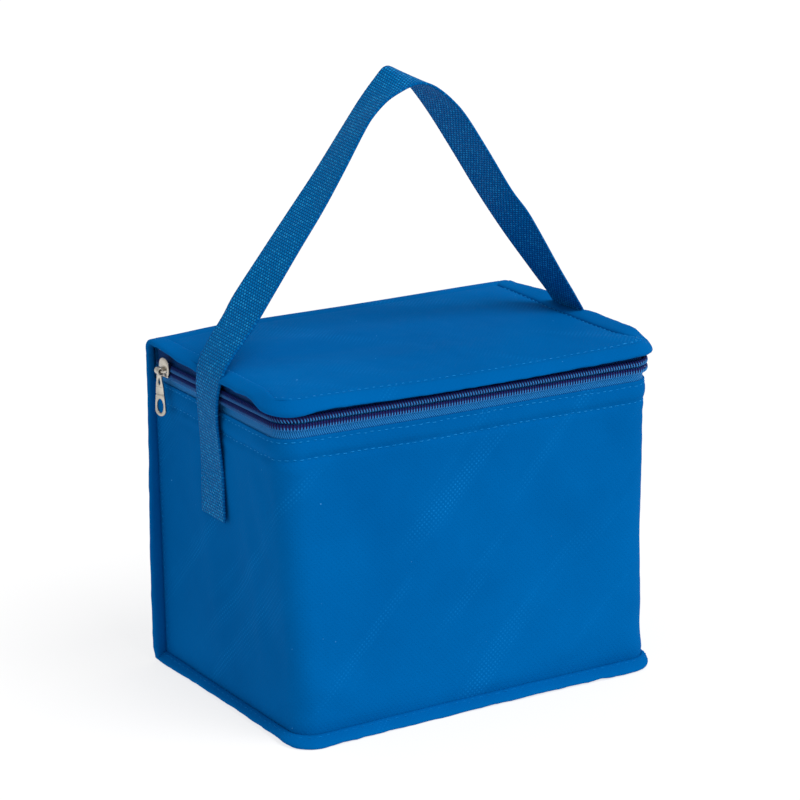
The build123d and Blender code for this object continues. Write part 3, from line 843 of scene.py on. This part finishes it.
def flat_pad(name, node, axis, trim=0.25):
    """A foam sheet in its CAD node's space: full in the middle, softer at its edges."""
    low, high = box_mm(node)
    thick = (high - low)[axis] - 2 * trim
    others = [k for k in range(3) if k != axis]
    a = np.linspace(-1, 1, 44)
    A, B = grid(np.sin(a * math.pi / 2), np.sin(a * math.pi / 2))
    mid, size = (low + high) / 2, (high - low) / 2 - 0.6
    p = np.empty(A.shape + (3,))
    p[..., axis] = mid[axis]
    p[..., others[1]] = mid[others[1]] + B * size[others[1]]
    if node == "lid_foam":
        w = strip_half(p[..., 1], 1.4) - np.where(A < 0, LEFT_IN, RIGHT_IN) * 0.8
    else:
        # the back's sheet narrows above the hem, behind the zip's ends
        w = size[others[0]] - 5.0 * smooth(p[..., 2], 144, 154)
        p[..., 2] -= 2.0 * smooth(p[..., 2], 150, 168) if axis == 1 else 0.0
    p[..., others[0]] = mid[others[0]] + A * w
    soft = 1 - 0.35 * np.maximum(np.abs(A), np.abs(B)) ** 8
    piece = slab(name, lean(p) if node == "lid_foam" else p, thick * soft, p[..., others])
    dress(piece, FOAM, "foam", frame["nodes"][node]["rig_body"], node)
    return piece


flat_pad("back_padding", "back_foam", 1)
flat_pad("base_padding", "base_foam", 2)
flat_pad("lid_padding", "lid_foam", 2)

# the liner: a floor that turns up into the four walls
INNER = 4.62
SIDE_POINTS, BACK_POINTS = 150, 56
loop_end = s_at(BACK_Y - INNER - 1.5)
loop_s = np.linspace(-loop_end, loop_end, SIDE_POINTS)
base_xy, out_xy = rim(loop_s)
u_xy = base_xy - out_xy * INNER
back_x = np.linspace(u_xy[-1, 0] - 0.8, u_xy[0, 0] + 0.8, BACK_POINTS)
loop_xy = np.concatenate([u_xy, np.stack([back_x, np.full(BACK_POINTS, BACK_Y - INNER)], -1)])
is_back = np.repeat([0.0, 1.0], [SIDE_POINTS, BACK_POINTS])
side_out = np.concatenate([out_xy, np.tile([0.0, 1.0], (BACK_POINTS, 1))])
floor_rows = np.array([0.0, 0.12, 0.3, 0.5, 0.7, 0.86, 0.96, 0.992])
wall_rows = np.concatenate([[0.0, 0.008, 0.022], np.linspace(0.05, 0.985, 29), [0.992, 1.0]])
FLOOR_Z, FOOT_Z, SIDE_TOP_Z, BACK_TOP_Z = 4.7, 5.3, 152.9, 168.0
top_z = SIDE_TOP_Z + (BACK_TOP_Z - SIDE_TOP_Z) * is_back
floor_p = [with_z(loop_xy * f, FLOOR_Z) for f in floor_rows]
wall_p = [with_z(loop_xy, FOOT_Z + (top_z - FOOT_Z) * f) for f in wall_rows]
liner_p = np.stack(floor_p + wall_p)
swell_in = np.zeros(liner_p.shape[:2])
for row, q in enumerate(wall_p, len(floor_rows)):
    swell_in[row, :SIDE_POINTS] = np.minimum(wall_swell(loop_s, q[:SIDE_POINTS, 2]), 0.0)
crinkle = np.abs(rough(liner_p, 11, 13, 4)) * 0.5 + np.abs(rough(liner_p, 40, 17, 2)) * 0.9
crinkle[:len(floor_rows)] = 0
liner_p[..., :2] += side_out[None] * (swell_in - crinkle)[..., None]
# the top edge turns out over the foam
over_foam = smooth(liner_p[..., 2], top_z[None] - 1.9, top_z[None])
liner_p[..., :2] += side_out[None] * (1.5 * over_foam)[..., None]
liner_p[:len(floor_rows), :, 2] += 0.5 * np.abs(rough(liner_p[:len(floor_rows)], 22, 21))
uv = np.stack(grid(np.arange(len(liner_p)) * 4.0, np.arange(len(loop_xy)) * 3.2)[::-1], -1)
liner = slab("body_liner", lean(liner_p), 0.35, uv, wrap=True)
dress(liner, FOIL, "lining_foil", "bag_body", "body_lining")

inner_y = np.concatenate([CORNER_Y - (CORNER_R - 0.6) * np.sin(turn)[::-1], np.arange(-57.5, 67, 3.2)])
X = strip_half(inner_y, 0.7)[:, None] * np.linspace(-1, 1, 70)[None]
Y = np.broadcast_to(inner_y[:, None], X.shape)
P = np.stack([X, Y, np.full(X.shape, 169.35)], -1)
P[..., 2] -= np.abs(rough(P, 14, 23, 4)) * 0.35 * smooth(100 - np.abs(X), 0, 8)
lid_liner = slab("lid_liner", lean(P), 0.35, np.stack([X, Y], -1))
dress(lid_liner, FOIL, "lining_foil", "lid", "lid_lining")


def curve_through(points, count):
    """A smooth line through a few points (a Catmull-Rom spline), with its points evenly spaced."""
    p = np.asarray(points, float)
    ext = np.concatenate([[2 * p[0] - p[1]], p, [2 * p[-1] - p[-2]]])
    out = []
    for k in range(len(p) - 1):
        a, b, c, d = ext[k:k + 4]
        for t in np.linspace(0, 1, 30, endpoint=False):
            square, cube = (2 * a - 5 * b + 4 * c - d) * t ** 2, (3 * b - a - 3 * c + d) * t ** 3
            out.append(0.5 * (2 * b + (c - a) * t + square + cube))
    out = np.array(out + [p[-1]])
    run = run_along(out)
    even = np.linspace(0, run[-1], count)
    return np.stack([np.interp(even, run, out[:, k]) for k in range(3)], -1), run[-1]


# ---------------------------------------------------------------- bindings
def flange(s, seam_z, angle, length, thick, inset, wave_seed=31):
    """A sewn band that follows the rim and stands out at an angle, minus for down."""
    base, out = rim(s)
    wobble = rough(np.stack([s, 0 * s, 0 * s], -1), 24, wave_seed)
    angle = np.radians(angle + 5 * wobble)
    inset = np.broadcast_to(inset, s.shape)
    centre, flat_out = with_z(base - out * inset[:, None], seam_z), with_z(out, 0.0)
    z_axis = np.broadcast_to(UP, flat_out.shape)
    ahead = flat_out * np.cos(angle)[:, None] + z_axis * np.sin(angle)[:, None]
    over = z_axis * np.cos(angle)[:, None] - flat_out * np.sin(angle)[:, None]
    fine = 1 + 0.05 * rough(np.stack([s, 0 * s + 9, 0 * s], -1), 9, wave_seed + 2)
    loops = band(centre, ahead, over, (length + inset) * fine, thick * fine)
    loops += over[:, None] * (rough(loops, 10, wave_seed + 4) * 0.16)[..., None]
    return loops, centre, ahead, over


# lid: drooping on the left and front, wide and soft at the near corner, turned up on the right
s = np.arange(-s_at(65.9), s_at(65.9) + 0.1, 1.6)
right_side, left_side = smooth(s, 104, 122), smooth(-s, 98, 126)
far_end, far_right = smooth(-s, 208, 236), smooth(s, 205, 238)
near_corner = bump(s, -103, 15)
squeeze = np.maximum(bump(s, -178, 15), 0.75 * bump(s, 178, 13))     # the strap presses the band flat
lid_angle = -38 - 6 * near_corner + 55 * right_side + 13 * left_side
lid_angle += -24 * squeeze + 20 * far_end - 13 * far_right - 11 * bump(s, 136, 20)
lid_len = 6.9 + 1.1 * near_corner - 2.4 * right_side - 3.6 * left_side
lid_len -= 1.0 * bump(s, 112, 12) + 1.2 * far_right
lid_len = lid_len - (lid_len - 3.0) * squeeze
lid_seam = 172.95 - 0.8 * near_corner - 0.2 * right_side + 0.5 * left_side
loops = flange(s, lid_seam, lid_angle, lid_len, 3.1 + 0.2 * right_side, inset=1.5 + side_seam(s))[0]
dress(sweep("lid_piping", lean(loops)), BIND, "binding_fabric", "lid", "lid_binding")

# base: slopes down to the floor, narrow at the far right end
s = np.arange(-s_at(71.6), s_at(71.6) + 0.1, 1.6)
droop = smooth(s, 92, 118)
base_len = 7.4 - 4.2 * droop - 2.2 * (1 - smooth(s, -112, -84)) + 2.2 * bump(s, -101, 8)
base_len += 1.2 * smooth(-s, 190, 240) - 3.0 * bump(s, 107, 8) + 0.9 * bump(s, 80, 13)
base_angle = -26 - 26 * droop + 2 * np.sin(s / 31.0)
loops, base_c, base_a, base_o = flange(s, 4.6, base_angle, base_len, 2.5, inset=0.6, wave_seed=41)
loops = lean(loops)
loops[..., 2] = np.maximum(loops[..., 2], 0.06 + 0.35 * np.maximum(0.9 - loops[..., 2], 0) * 0.1)
dress(sweep("base_piping", loops), BIND, "binding_fabric", "bag_body", "base_binding")

# the upright bands on the two back edges, and the loose corners that join them to the lid's band
for side, word in SIDES:
    z = np.arange(2.2, 167.9, 2.0)
    soft = rough(np.stack([0 * z + 50 * side, 0 * z, z], -1), 26, 51)
    centre = np.stack([np.full(z.shape, side * 104.4), 70.9 + 0.2 * soft, z], -1)
    ahead = unit(np.stack([np.full(z.shape, side * 1.0), -0.10 + 0.10 * soft, 0 * z], -1))
    over = np.stack([-ahead[:, 1], ahead[:, 0], 0 * z], -1)
    narrowing = (3.4 if side < 0 else 2.7) * smooth(z, 40, 166) + 0.9 * (1 - smooth(z, 2, 9))
    loops = band(centre, ahead, over, 7.8 - narrowing + 0.3 * soft, 2.9)
    loops += over[:, None] * (rough(loops, 11, 53 + side) * 0.15)[..., None]
    dress(sweep(f"back_piping_{word}", loops), BIND, "binding_fabric", "bag_body", f"back_binding_{word}")
    # over the corner: level at the lid's band, then round and down into the upright one
    bend = [(64.8, 172.4), (67.6, 172.9), (70.2, 172.3), (71.4, 170.2), (71.2, 167.6), (70.9, 165.4)]
    line, _ = curve_through([(side * 104.3, y, z) for y, z in bend], 26)
    t = np.linspace(0, 1, 26)
    seam_in = (LEFT_IN if side < 0 else RIGHT_IN) * (1 - smooth(t, 0, 0.75))
    line[:, 0] -= side * seam_in
    slope = (1 - smooth(t, 0, 0.6)) * (-0.1 if side < 0 else 0.02)
    ahead = unit(np.stack([np.full(t.shape, side * 1.0), 0 * t, slope], -1))
    over = unit(np.cross(unit(np.gradient(line, axis=0)), ahead))
    loops = lean(band(line, ahead, over, (4.3 if side < 0 else 4.8) + seam_in * 0.75, 3.0))
    corner = sweep(f"corner_piping_{word}", loops)
    dress(corner, BIND, "binding_fabric", None, f"corner_binding_{word}")
    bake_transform(corner)


# ---------------------------------------------------------------- stitching
def along_rim(s, z, inset, lift=0.12):
    p = wall(s, z, inset)
    _, out = rim(s)
    n = with_z(out, 0.0)
    return p + n * lift, n


s = np.arange(-s_at(62), s_at(62), 1.0)
for name, z, node in (("hem_thread_low", HEM_STITCH_LOW, "hem_stitches_lower"),
                      ("hem_thread_high", HEM_STITCH_HIGH, "hem_stitches_upper")):
    p, n = along_rim(s, np.full(s.shape, z) + 0.25 * np.sin(s / 19.0), 0.0)
    dress(dashes(name, p, n, dash=2.7, gap=1.1, seed=int(z)), THREAD, "thread", "bag_body", node)

# on the base band, close to its seam
on = lean(base_c + base_a * 2.4 + base_o * 1.28)
dress(dashes("base_thread", on, base_o, dash=3.4, gap=1.5, wide=0.55, seed=5),
      THREAD_DEEP, "thread", "bag_body", "base_stitches")

# round the lid, just inside its band
s = np.arange(-s_at(60), s_at(60), 1.0)
base, out = rim(s)
xy = base - out * (1.9 + side_seam(s))[:, None]
z = LID_Z + 0.42 + lid_lift(xy[:, 0], xy[:, 1])
p = lean(with_z(xy, z))
up_n = np.tile(UP, (len(s), 1))
first = dashes("lid_thread", p, up_n, dash=2.5, gap=1.5, seed=7)
# the sewing runs over itself at the far right corner
again = np.abs(s - 108) < 20
beside = np.array([-0.8, 0.7, 0.05])
second = dashes("lid_thread_again", p[again] + beside, up_n[again], dash=3.0, gap=1.0, seed=8)
dress(join("lid_thread", [first, second]), THREAD, "thread", "lid", "lid_stitches")

for side, word in SIDES:
    z = np.arange(6.0, 164, 1.0)
    p, n = along_rim(np.full(z.shape, side * s_at(67.5)), z, 0.0)
    dress(dashes(f"back_thread_{word}", p, n, dash=2.6, gap=1.4, seed=9),
          THREAD_DEEP, "thread", "bag_body", f"back_stitches_{word}")

# ---------------------------------------------------------------- zip
S_TAPE = s_at(66.2)
S, Z = grid(np.linspace(-S_TAPE, S_TAPE, 230), np.linspace(144.8, 160.6, 12))
low_tape = slab("zip_tape_low", wall(S, Z, 1.1 - 0.35 * smooth(Z, 155, 158)), 0.55, np.stack([S, Z], -1))
dress(low_tape, TAPE, "zip_tape", "bag_body", "zip_lower_tape")


def lid_wall(s, z, inset):
    """The lid's edge below its seam: plain, so that it lifts clear of the bag."""
    s, z, inset = np.broadcast_arrays(*(np.asarray(v, float) for v in (s, z, inset)))
    base, out = rim(s)
    return lean(with_z(base - out * inset[..., None], z))


S, Z = grid(np.linspace(-S_TAPE, S_TAPE, 230), np.linspace(161.6, 170.6, 8))
high_tape = slab("zip_tape_high", lid_wall(S, Z, 1.1), 0.55, np.stack([S, Z], -1))
# the upper tape gets the tape painted dark, as painted shade under the lid's band
dress(high_tape, TAPE_PAINTED_SHADE, "zip_tape", "lid", "zip_upper_tape")


def coil(name, z_mid, slant, body, node):
    """One row of the zip: a nylon wire wound into a flattened spiral round a dark cord."""
    pitch, turns_per = 1.5, 12
    s_end = s_at(63.6)
    count = int(2 * s_end / pitch)
    theta = np.arange(count * turns_per + 1) * 2 * math.pi / turns_per
    s = -s_end + theta / (2 * math.pi) * pitch
    deep, high = np.cos(theta), np.sin(theta)
    base, out = rim(s + slant * high)
    offset = 0.45 + 0.85 * deep + 0.7 * bump(s, 108, 14)
    centre = lean(with_z(base + out * offset[:, None], z_mid + COIL_HIGH * high))
    tangent = unit(np.gradient(centre, axis=0))
    radial = unit(with_z(out * deep[:, None], high))
    other = unit(np.cross(tangent, radial))
    radial = np.cross(other, tangent)
    wire = sweep(name, ovals(centre, radial, other, 0.30, 0.31, 6))
    s = np.arange(-s_end, s_end + 0.1, 2.2)
    base, out = rim(s)
    centre, flat_out, upright = with_z(base + out * 0.3, z_mid), with_z(out, 0.0), np.tile(UP, (len(s), 1))
    core = sweep(name + "_cord", lean(ovals(centre, flat_out, upright, 0.5, 1.35, 10)))
    dress(wire, COIL, "zip_coil", body, node)
    dress(core, CORE, "zip_coil", body)


coil("zip_coil_low", COIL_LOW_Z, -0.36, "bag_body", "zip_lower_coil")
coil("zip_coil_high", COIL_HIGH_Z, -0.9, "lid", "zip_upper_coil")

# bar tacks where the zip ends
for side, word in SIDES:
    rows = []
    for k in range(9):
        z = 155.5 + 0.68 * k
        y = np.linspace(63.9, 66.5, 6)
        p = np.stack([np.full(6, side * (104.75 + 0.05 * (k % 2))), y, z + 0.25 * np.sin(y * 3 + k)], -1)
        rows.append(dashes(f"tack_{k}", p, np.tile([side * 1.0, 0, 0], (6, 1)), dash=2.3, gap=0.1,
                           wide=0.6, high=0.5, seed=60 + k, wander=0.08))
    dress(join(f"zip_tack_{word}", rows), THREAD, "thread", "bag_body", f"zip_end_tack_{word}")

# ---------------------------------------------------------------- slider and pull
def plate(name, outline, x_low, x_high, crown=0.0, rounding=0.3):
    """A plate with an outline in (y, z) and rounded edges, and its outer (low x) face domed by crown."""
    o = np.asarray(outline, float)
    mid = o.mean(0)
    smaller = mid + (o - mid) * (1 - rounding / np.linalg.norm(o - mid, axis=1).mean())
    rows = [(smaller, x_high), (o, x_high - rounding), (o, x_low + rounding), (smaller, x_low)]
    rows += [(mid + (o - mid) * t, x_low - crown * (1 - t * t)) for t in (0.8, 0.55, 0.3, 0.1)]
    return sweep(name, np.stack([at_x(x, q) for q, x in rows]))


def round_outline(points, r=1.2, steps=5):
    """A polygon with its corners rounded."""
    pts, out = np.asarray(points, float), []
    for k in range(len(pts)):
        a, b, c = pts[k - 1], pts[k], pts[(k + 1) % len(pts)]
        p = b + unit(a - b) * min(r, np.linalg.norm(a - b) * 0.48)
        q = b + unit(c - b) * min(r, np.linalg.norm(c - b) * 0.48)
        for t in np.linspace(0, 1, steps):
            out.append((1 - t) ** 2 * p + 2 * t * (1 - t) * b + t * t * q)
    return np.array(out)


def tube(name, line, radius, sides=10, flat=(1.0, 1.0), up=(1.0, 0, 0)):
    """A bent rod with an oval section."""
    line = np.asarray(line, float)
    ahead = unit(np.gradient(line, axis=0))
    over = unit(np.cross(np.broadcast_to(up, ahead.shape), ahead))
    lift = np.cross(ahead, over)
    return sweep(name, ovals(line, over, lift, radius * flat[0], radius * flat[1], sides))


low, high = box_mm("slider_body")
sl_y, sl_z = (low[1] + high[1]) / 2 - 2.5, (low[2] + high[2]) / 2 + 1.5
half_y, half_z = (high[1] - low[1]) / 2, (high[2] - low[2]) / 2 + 0.5
# the shield's corners, as shares of its half width and half height
shield = [(-1, -0.55), (-0.62, -1), (0.55, -1), (1, -0.45), (0.92, 0.55), (0.35, 1), (-0.5, 1), (-1, 0.5)]
outline = round_outline([(sl_y + a * half_y, sl_z + b * half_z) for a, b in shield], 2.2)
front_plate = plate("slider_front", outline, -108.2, -107.1, crown=0.55)
back_plate = plate("slider_back", outline[::-1], -103.3, -102.1)
foot_z = sl_z - half_z
t = np.linspace(-0.75, 0.75, 11)
rim_line = np.stack([0 * t - 107.6, sl_y + half_y * t, foot_z + 0.55 + 0.25 * t ** 2], -1)
t = np.linspace(-0.7, 0.7, 9)
lip_line = np.stack([0 * t - 106.9, sl_y + half_y * t, 0 * t + foot_z + 0.4], -1)
lower_rim, lower_lip = tube("slider_rim", rim_line, 0.75), tube("slider_lip", lip_line, 0.5)
post_line = [(x, sl_y + 4.2, 161.15) for x in np.linspace(-107.0, -103.0, 8)]
post = tube("slider_post", post_line, 0.24, flat=(4.2, 1.0), up=UP)
slider = join("slider_casting", [front_plate, back_plate, lower_rim, lower_lip, post])
dress(slider, METAL, "zip_metal", "zip_slider", "slider_body")
t = np.linspace(0, math.pi, 15)
arch = [(-107.8 - 2.75 * math.sin(a) ** 0.7, sl_y - 4.0 * math.cos(a), 162.0) for a in t]
bridge = tube("slider_bridge_arch", arch, 0.75, up=UP)
cap_outline = [(sl_y - 4.4, 160.6), (sl_y + 4.4, 160.6), (sl_y + 4.0, 163.6), (sl_y - 4.0, 163.6)]
cap = plate("slider_cap", round_outline(cap_outline, 1.2), -108.5, -107.8, crown=0.3, rounding=0.2)
dress(join("slider_arch", [bridge, cap]), METAL, "zip_metal", "zip_slider", "slider_bridge")

low, high = box_mm("pull_tab")
PULL_Y, PIVOT_Z, PULL_X = sl_y, 162.0, -110.3
TWIST = math.radians(24)
low = low + np.array([0, 0, 3.2])


def pull_half(z):
    """Half the pull's width at that height: narrow under its neck, wide at its foot, where it rounds off."""
    foot = low[2] + 3.5
    w = 2.15 + 1.25 * smooth(PIVOT_Z - z, 3, 22) + 0.25 * bump(z, PIVOT_Z - 2.0, 2.0)
    return np.where(z < foot, np.sqrt(np.maximum(3.5 ** 2 - (foot - z) ** 2, 0.0)), w)


def ring_plate(name, outer, inner, x_low, x_high, edge=0.25):
    """A flat plate with one hole: both outlines have as many points, in step."""
    def at(f, x):
        return at_x(x, outer + (inner - outer) * f)
    rows = [at(0, x_low + edge), at(0.07, x_low), at(0.5, x_low - 0.06), at(0.93, x_low), at(1, x_low + edge),
            at(1, x_high - edge), at(0.93, x_high), at(0.5, x_high), at(0.07, x_high), at(0, x_high - edge)]
    return closed_grid(name, np.stack(rows))


def oval(y, z, a, b, count=40):
    t = circle(count)
    return np.stack([y + a * np.cos(t), z + b * np.sin(t)], -1)


def tab_outline(z_top, z_low, hole_z, count=40):
    """The pull's outline in step with a hole's points, by angle about the hole."""
    out = []
    for a in circle(count):
        d = np.array([math.cos(a), math.sin(a)])
        lo_r, hi_r = 0.0, 60.0
        for _ in range(40):
            r = (lo_r + hi_r) / 2
            y, z = d * r
            z += hole_z
            inside = z_low < z < z_top and abs(y) < pull_half(np.array(z))
            lo_r, hi_r = (r, hi_r) if inside else (lo_r, r)
        out.append((PULL_Y + d[0] * lo_r, hole_z + d[1] * lo_r))
    return np.array(out)


tab_x = (PULL_X - 0.6, PULL_X + 0.6)
foot_hole = low[2] + 5.4
split = low[2] + 12.0
foot_tab = ring_plate("pull_foot", tab_outline(split, low[2] + 0.02, foot_hole),
                      oval(PULL_Y, foot_hole, 2.05, 3.7), *tab_x)
neck_hole = PIVOT_Z - 5.6
neck_tab = ring_plate("pull_neck", tab_outline(PIVOT_Z - 1.4, neck_hole - 2.9, neck_hole),
                      oval(PULL_Y, neck_hole, 0.8, 1.7), *tab_x)
zs = np.linspace(neck_hole - 2.7, split - 0.2, 12)
x_out, x_in = tab_x


def shank_loop(z, w):
    """The shank's section: edges eased at both faces, the outer one slightly crowned."""
    side = [(x_out + 0.2, -w), (x_out, 0.25 - w), (x_out - 0.12, 0.0), (x_out, w - 0.25), (x_out + 0.2, w),
            (x_in - 0.2, w), (x_in, w - 0.25), (x_in, 0.25 - w), (x_in - 0.2, -w)]
    return [(x, PULL_Y + y, z) for x, y in side]


shank_loops = np.array([shank_loop(z, w) for z, w in zip(zs, pull_half(zs))])
shank = sweep("pull_shank", shank_loops)
a = circle(28)
barrel_profile = ((1.35, -2.2), (1.85, -2.2), (2.0, -1.9), (2.0, 1.9),
                  (1.85, 2.2), (1.35, 2.2), (1.3, 1.8), (1.3, -1.8))
barrel_loops = np.stack([np.stack([PULL_X + r * np.cos(a), PULL_Y + y + 0 * a, PIVOT_Z + r * np.sin(a)], -1)
                         for r, y in barrel_profile])
barrel = closed_grid("pull_barrel", barrel_loops)
leaf = join("pull_leaf", [foot_tab, neck_tab, shank, barrel])
for v in leaf.data.vertices:                       # it hangs a little twisted
    y, x, z = v.co.y / MM - PULL_Y, v.co.x / MM - PULL_X, v.co.z / MM
    a = TWIST * float(smooth(PIVOT_Z - z, 1.5, 9))
    v.co.x = (PULL_X + x * math.cos(a) - y * math.sin(a)) * MM
    v.co.y = (PULL_Y + x * math.sin(a) + y * math.cos(a)) * MM
dress(leaf, METAL, "zip_metal", "zip_pull", "pull_tab")


# ---------------------------------------------------------------- strap
# its two edges, from the left patch over the top to the right patch
BACK_EDGE = [
    (-105.9, 17.0, 97), (-105.9, 16.6, 108), (-105.9, 15.8, 122), (-106.5, 15.0, 137),
    (-107.4, 14.4, 150), (-107.8, 14.4, 163), (-106.0, 15.0, 174), (-99.8, 16.2, 183.5),
    (-90.6, 17.2, 195), (-83.5, 17.8, 205), (-67, 17.8, 225), (-51.5, 17.8, 243.5), (-36, 17.8, 262),
    (-21.5, 17.8, 280.5), (-10.5, 17.8, 294.5), (-1.5, 17.8, 304.5), (4, 17.6, 309.6),
    (9.5, 17.8, 308.2), (14.5, 18, 303.5), (21, 17.8, 296.2), (31, 17.8, 282.5), (43.3, 17.8, 263.5),
    (57.5, 17.8, 241.2), (73.5, 17.8, 218), (91, 17.6, 194.8), (101, 17.2, 181.5), (107.6, 17, 170),
    (109.0, 17, 156), (107.4, 17.3, 138), (106.0, 17.5, 122), (105.9, 17.5, 108), (105.9, 17.5, 97),
]
FRONT_EDGE = [
    (-105.9, -7.5, 97), (-105.9, -7.5, 108), (-106.0, -7.5, 122), (-107.6, -8.2, 137),
    (-109.0, -9.2, 150), (-108.8, -10.6, 162), (-105.8, -11.0, 173.0), (-98.8, -10.0, 182),
    (-86.6, -8.4, 194.5), (-75.5, -7.0, 208), (-60, -7.0, 229), (-46.5, -7.0, 247), (-34, -7.0, 265.5),
    (-22, -6.8, 284), (-16.3, -6.6, 291), (-8.5, -6.4, 297.4), (0, -6.2, 301.4), (7.5, -6.0, 303.6),
    (14, -6.0, 303.4), (20.5, -6.2, 300.4), (28.5, -6.8, 293.8), (36.5, -7.0, 284.8),
    (48.5, -7.0, 266.8), (62.5, -7.0, 244.8), (72, -7.0, 232.6), (79, -7.0, 221.5), (92, -7.3, 199.2),
    (101.5, -7.8, 183.5), (107.8, -8.2, 171), (109.2, -8.0, 156), (107.6, -7.7, 138),
    (106.0, -7.5, 122), (105.9, -7.5, 108), (105.9, -7.5, 97),
]
ROWS = 1500
back_line, strap_length = curve_through(BACK_EDGE, ROWS)
front_line, front_length = curve_through(FRONT_EDGE, ROWS)
# both edges have as many rows, in step, so that the weave stays square to the strap
share = np.linspace(0, 1, 27)
P = back_line[:, None] + (front_line - back_line)[:, None] * share[None, :, None]
u_run = np.linspace(0, (strap_length + front_length) / 2, ROWS)
U = np.broadcast_to(u_run[:, None], P.shape[:2])
V = np.broadcast_to(share[None] * STRAP_WIDTH, P.shape[:2])
normal = grid_normals(P, False)
half_shift = 0.5 * (np.floor(U / WEAVE_ROW) % 2)
rib = 0.10 * np.sin(2 * np.pi * U / WEAVE_ROW) * np.sin(np.pi * (V / WEAVE_COL + half_shift))
free = smooth(U, 60, 90) * smooth(u_run[-1] - U, 60, 90)
ripple = 0.35 * np.sin(U / 9.0 + 0.8) * np.sin(np.pi * share)[None] * free
P = P + normal * ripple[..., None]
selvedge = 0.15 * (bump(V, 0.6, 0.8) + bump(V, STRAP_WIDTH - 0.6, 0.8))
strap = slab("carry_strap", P, STRAP_THICK + rib + selvedge, np.stack([U, V], -1))
dress(strap, WEB, "webbing", None, "strap_end_left", "strap_end_right", "handle_loop")
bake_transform(strap)

# the box of stitching that holds each end
for side, word in SIDES:
    a, b, c, d = (15.5, 99), (15.5, 119.5), (-5.5, 119.5), (-5.5, 99)
    corners = [a, b, c, d, a, c, d, b]
    rows = []
    for k, (p0, p1) in enumerate(zip(corners[:-1], corners[1:])):
        n = max(int(math.dist(p0, p1)), 2)
        yz = np.linspace(p0, p1, n)
        p = at_x(side * 106.6, yz)
        outward = np.tile([side * 1.0, 0, 0], (n, 1))
        rows.append(dashes(f"box_{k}", p, outward, dash=2.1, gap=0.9, seed=80 + k))
    dress(join(f"strap_thread_{word}", rows), THREAD, "thread", "bag_body", f"strap_stitches_{word}")

# ---------------------------------------------------------------- stage, light and camera
FLOOR = 9000                                      # mm from the middle to each edge
corners = [(-FLOOR, -FLOOR, 0), (FLOOR, -FLOOR, 0), (FLOOR, FLOOR, 0), (-FLOOR, FLOOR, 0)]
floor = finish_mesh("floor", corners, [(0, 1, 2, 3)])
paint = Finish("floor_paint")
for key, value in (("Base Color", rgb(0.25, 0.25, 0.25)), ("Roughness", 0.9), ("Specular IOR Level", 0.0),
                   ("Emission Color", rgb(1.0, 1.0, 1.0)), ("Emission Strength", 0.76)):
    paint.put(paint.skin.inputs[key], value)
floor.data.materials.append(paint.made)
floor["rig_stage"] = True

world = bpy.data.worlds.new("studio")
bpy.context.scene.world = world
world.use_nodes = True
world.node_tree.nodes["Background"].inputs[0].default_value = rgb(1.0, 1.0, 1.0)
world.node_tree.nodes["Background"].inputs[1].default_value = 0.62


def sun(name, toward, strength, angle):
    light = bpy.data.lights.new(name, "SUN")
    light.energy, light.angle = strength, math.radians(angle)
    lamp = bpy.data.objects.new(name, light)
    lamp.rotation_mode = "QUATERNION"
    lamp.rotation_quaternion = Vector(toward).to_track_quat("Z", "Y")
    bpy.context.scene.collection.objects.link(lamp)


sun("key", (0.38, -0.70, 0.98), 2.12, 42)

AZ, EL, ROLL = (math.radians(a) for a in (-29.83, 15.49, -1.06))
back = Vector((math.sin(AZ) * math.cos(EL), -math.cos(AZ) * math.cos(EL), math.sin(EL)))
level = Vector((math.cos(AZ), math.sin(AZ), 0))
right = level * math.cos(ROLL) + back.cross(level) * math.sin(ROLL)
above = back.cross(right)
camera = bpy.data.objects.new("camera", bpy.data.cameras.new("camera"))
camera.data.sensor_width, camera.data.lens = 36, 125.1
LOOK_AT, SHIFT_RIGHT, SHIFT_UP, DISTANCE = Vector((0, 0, 85)), -1.67, 54.67, 1432.84    # mm
place = (LOOK_AT + right * SHIFT_RIGHT + above * SHIFT_UP + back * DISTANCE) * MM
camera.matrix_world = Matrix.Translation(place) @ Matrix((right, above, back)).transposed().to_4x4()
camera.data.clip_start, camera.data.clip_end = 0.05, 60
bpy.context.scene.collection.objects.link(camera)
bpy.context.scene.camera = camera
bpy.context.scene.view_settings.view_transform = "Standard"

low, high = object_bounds()
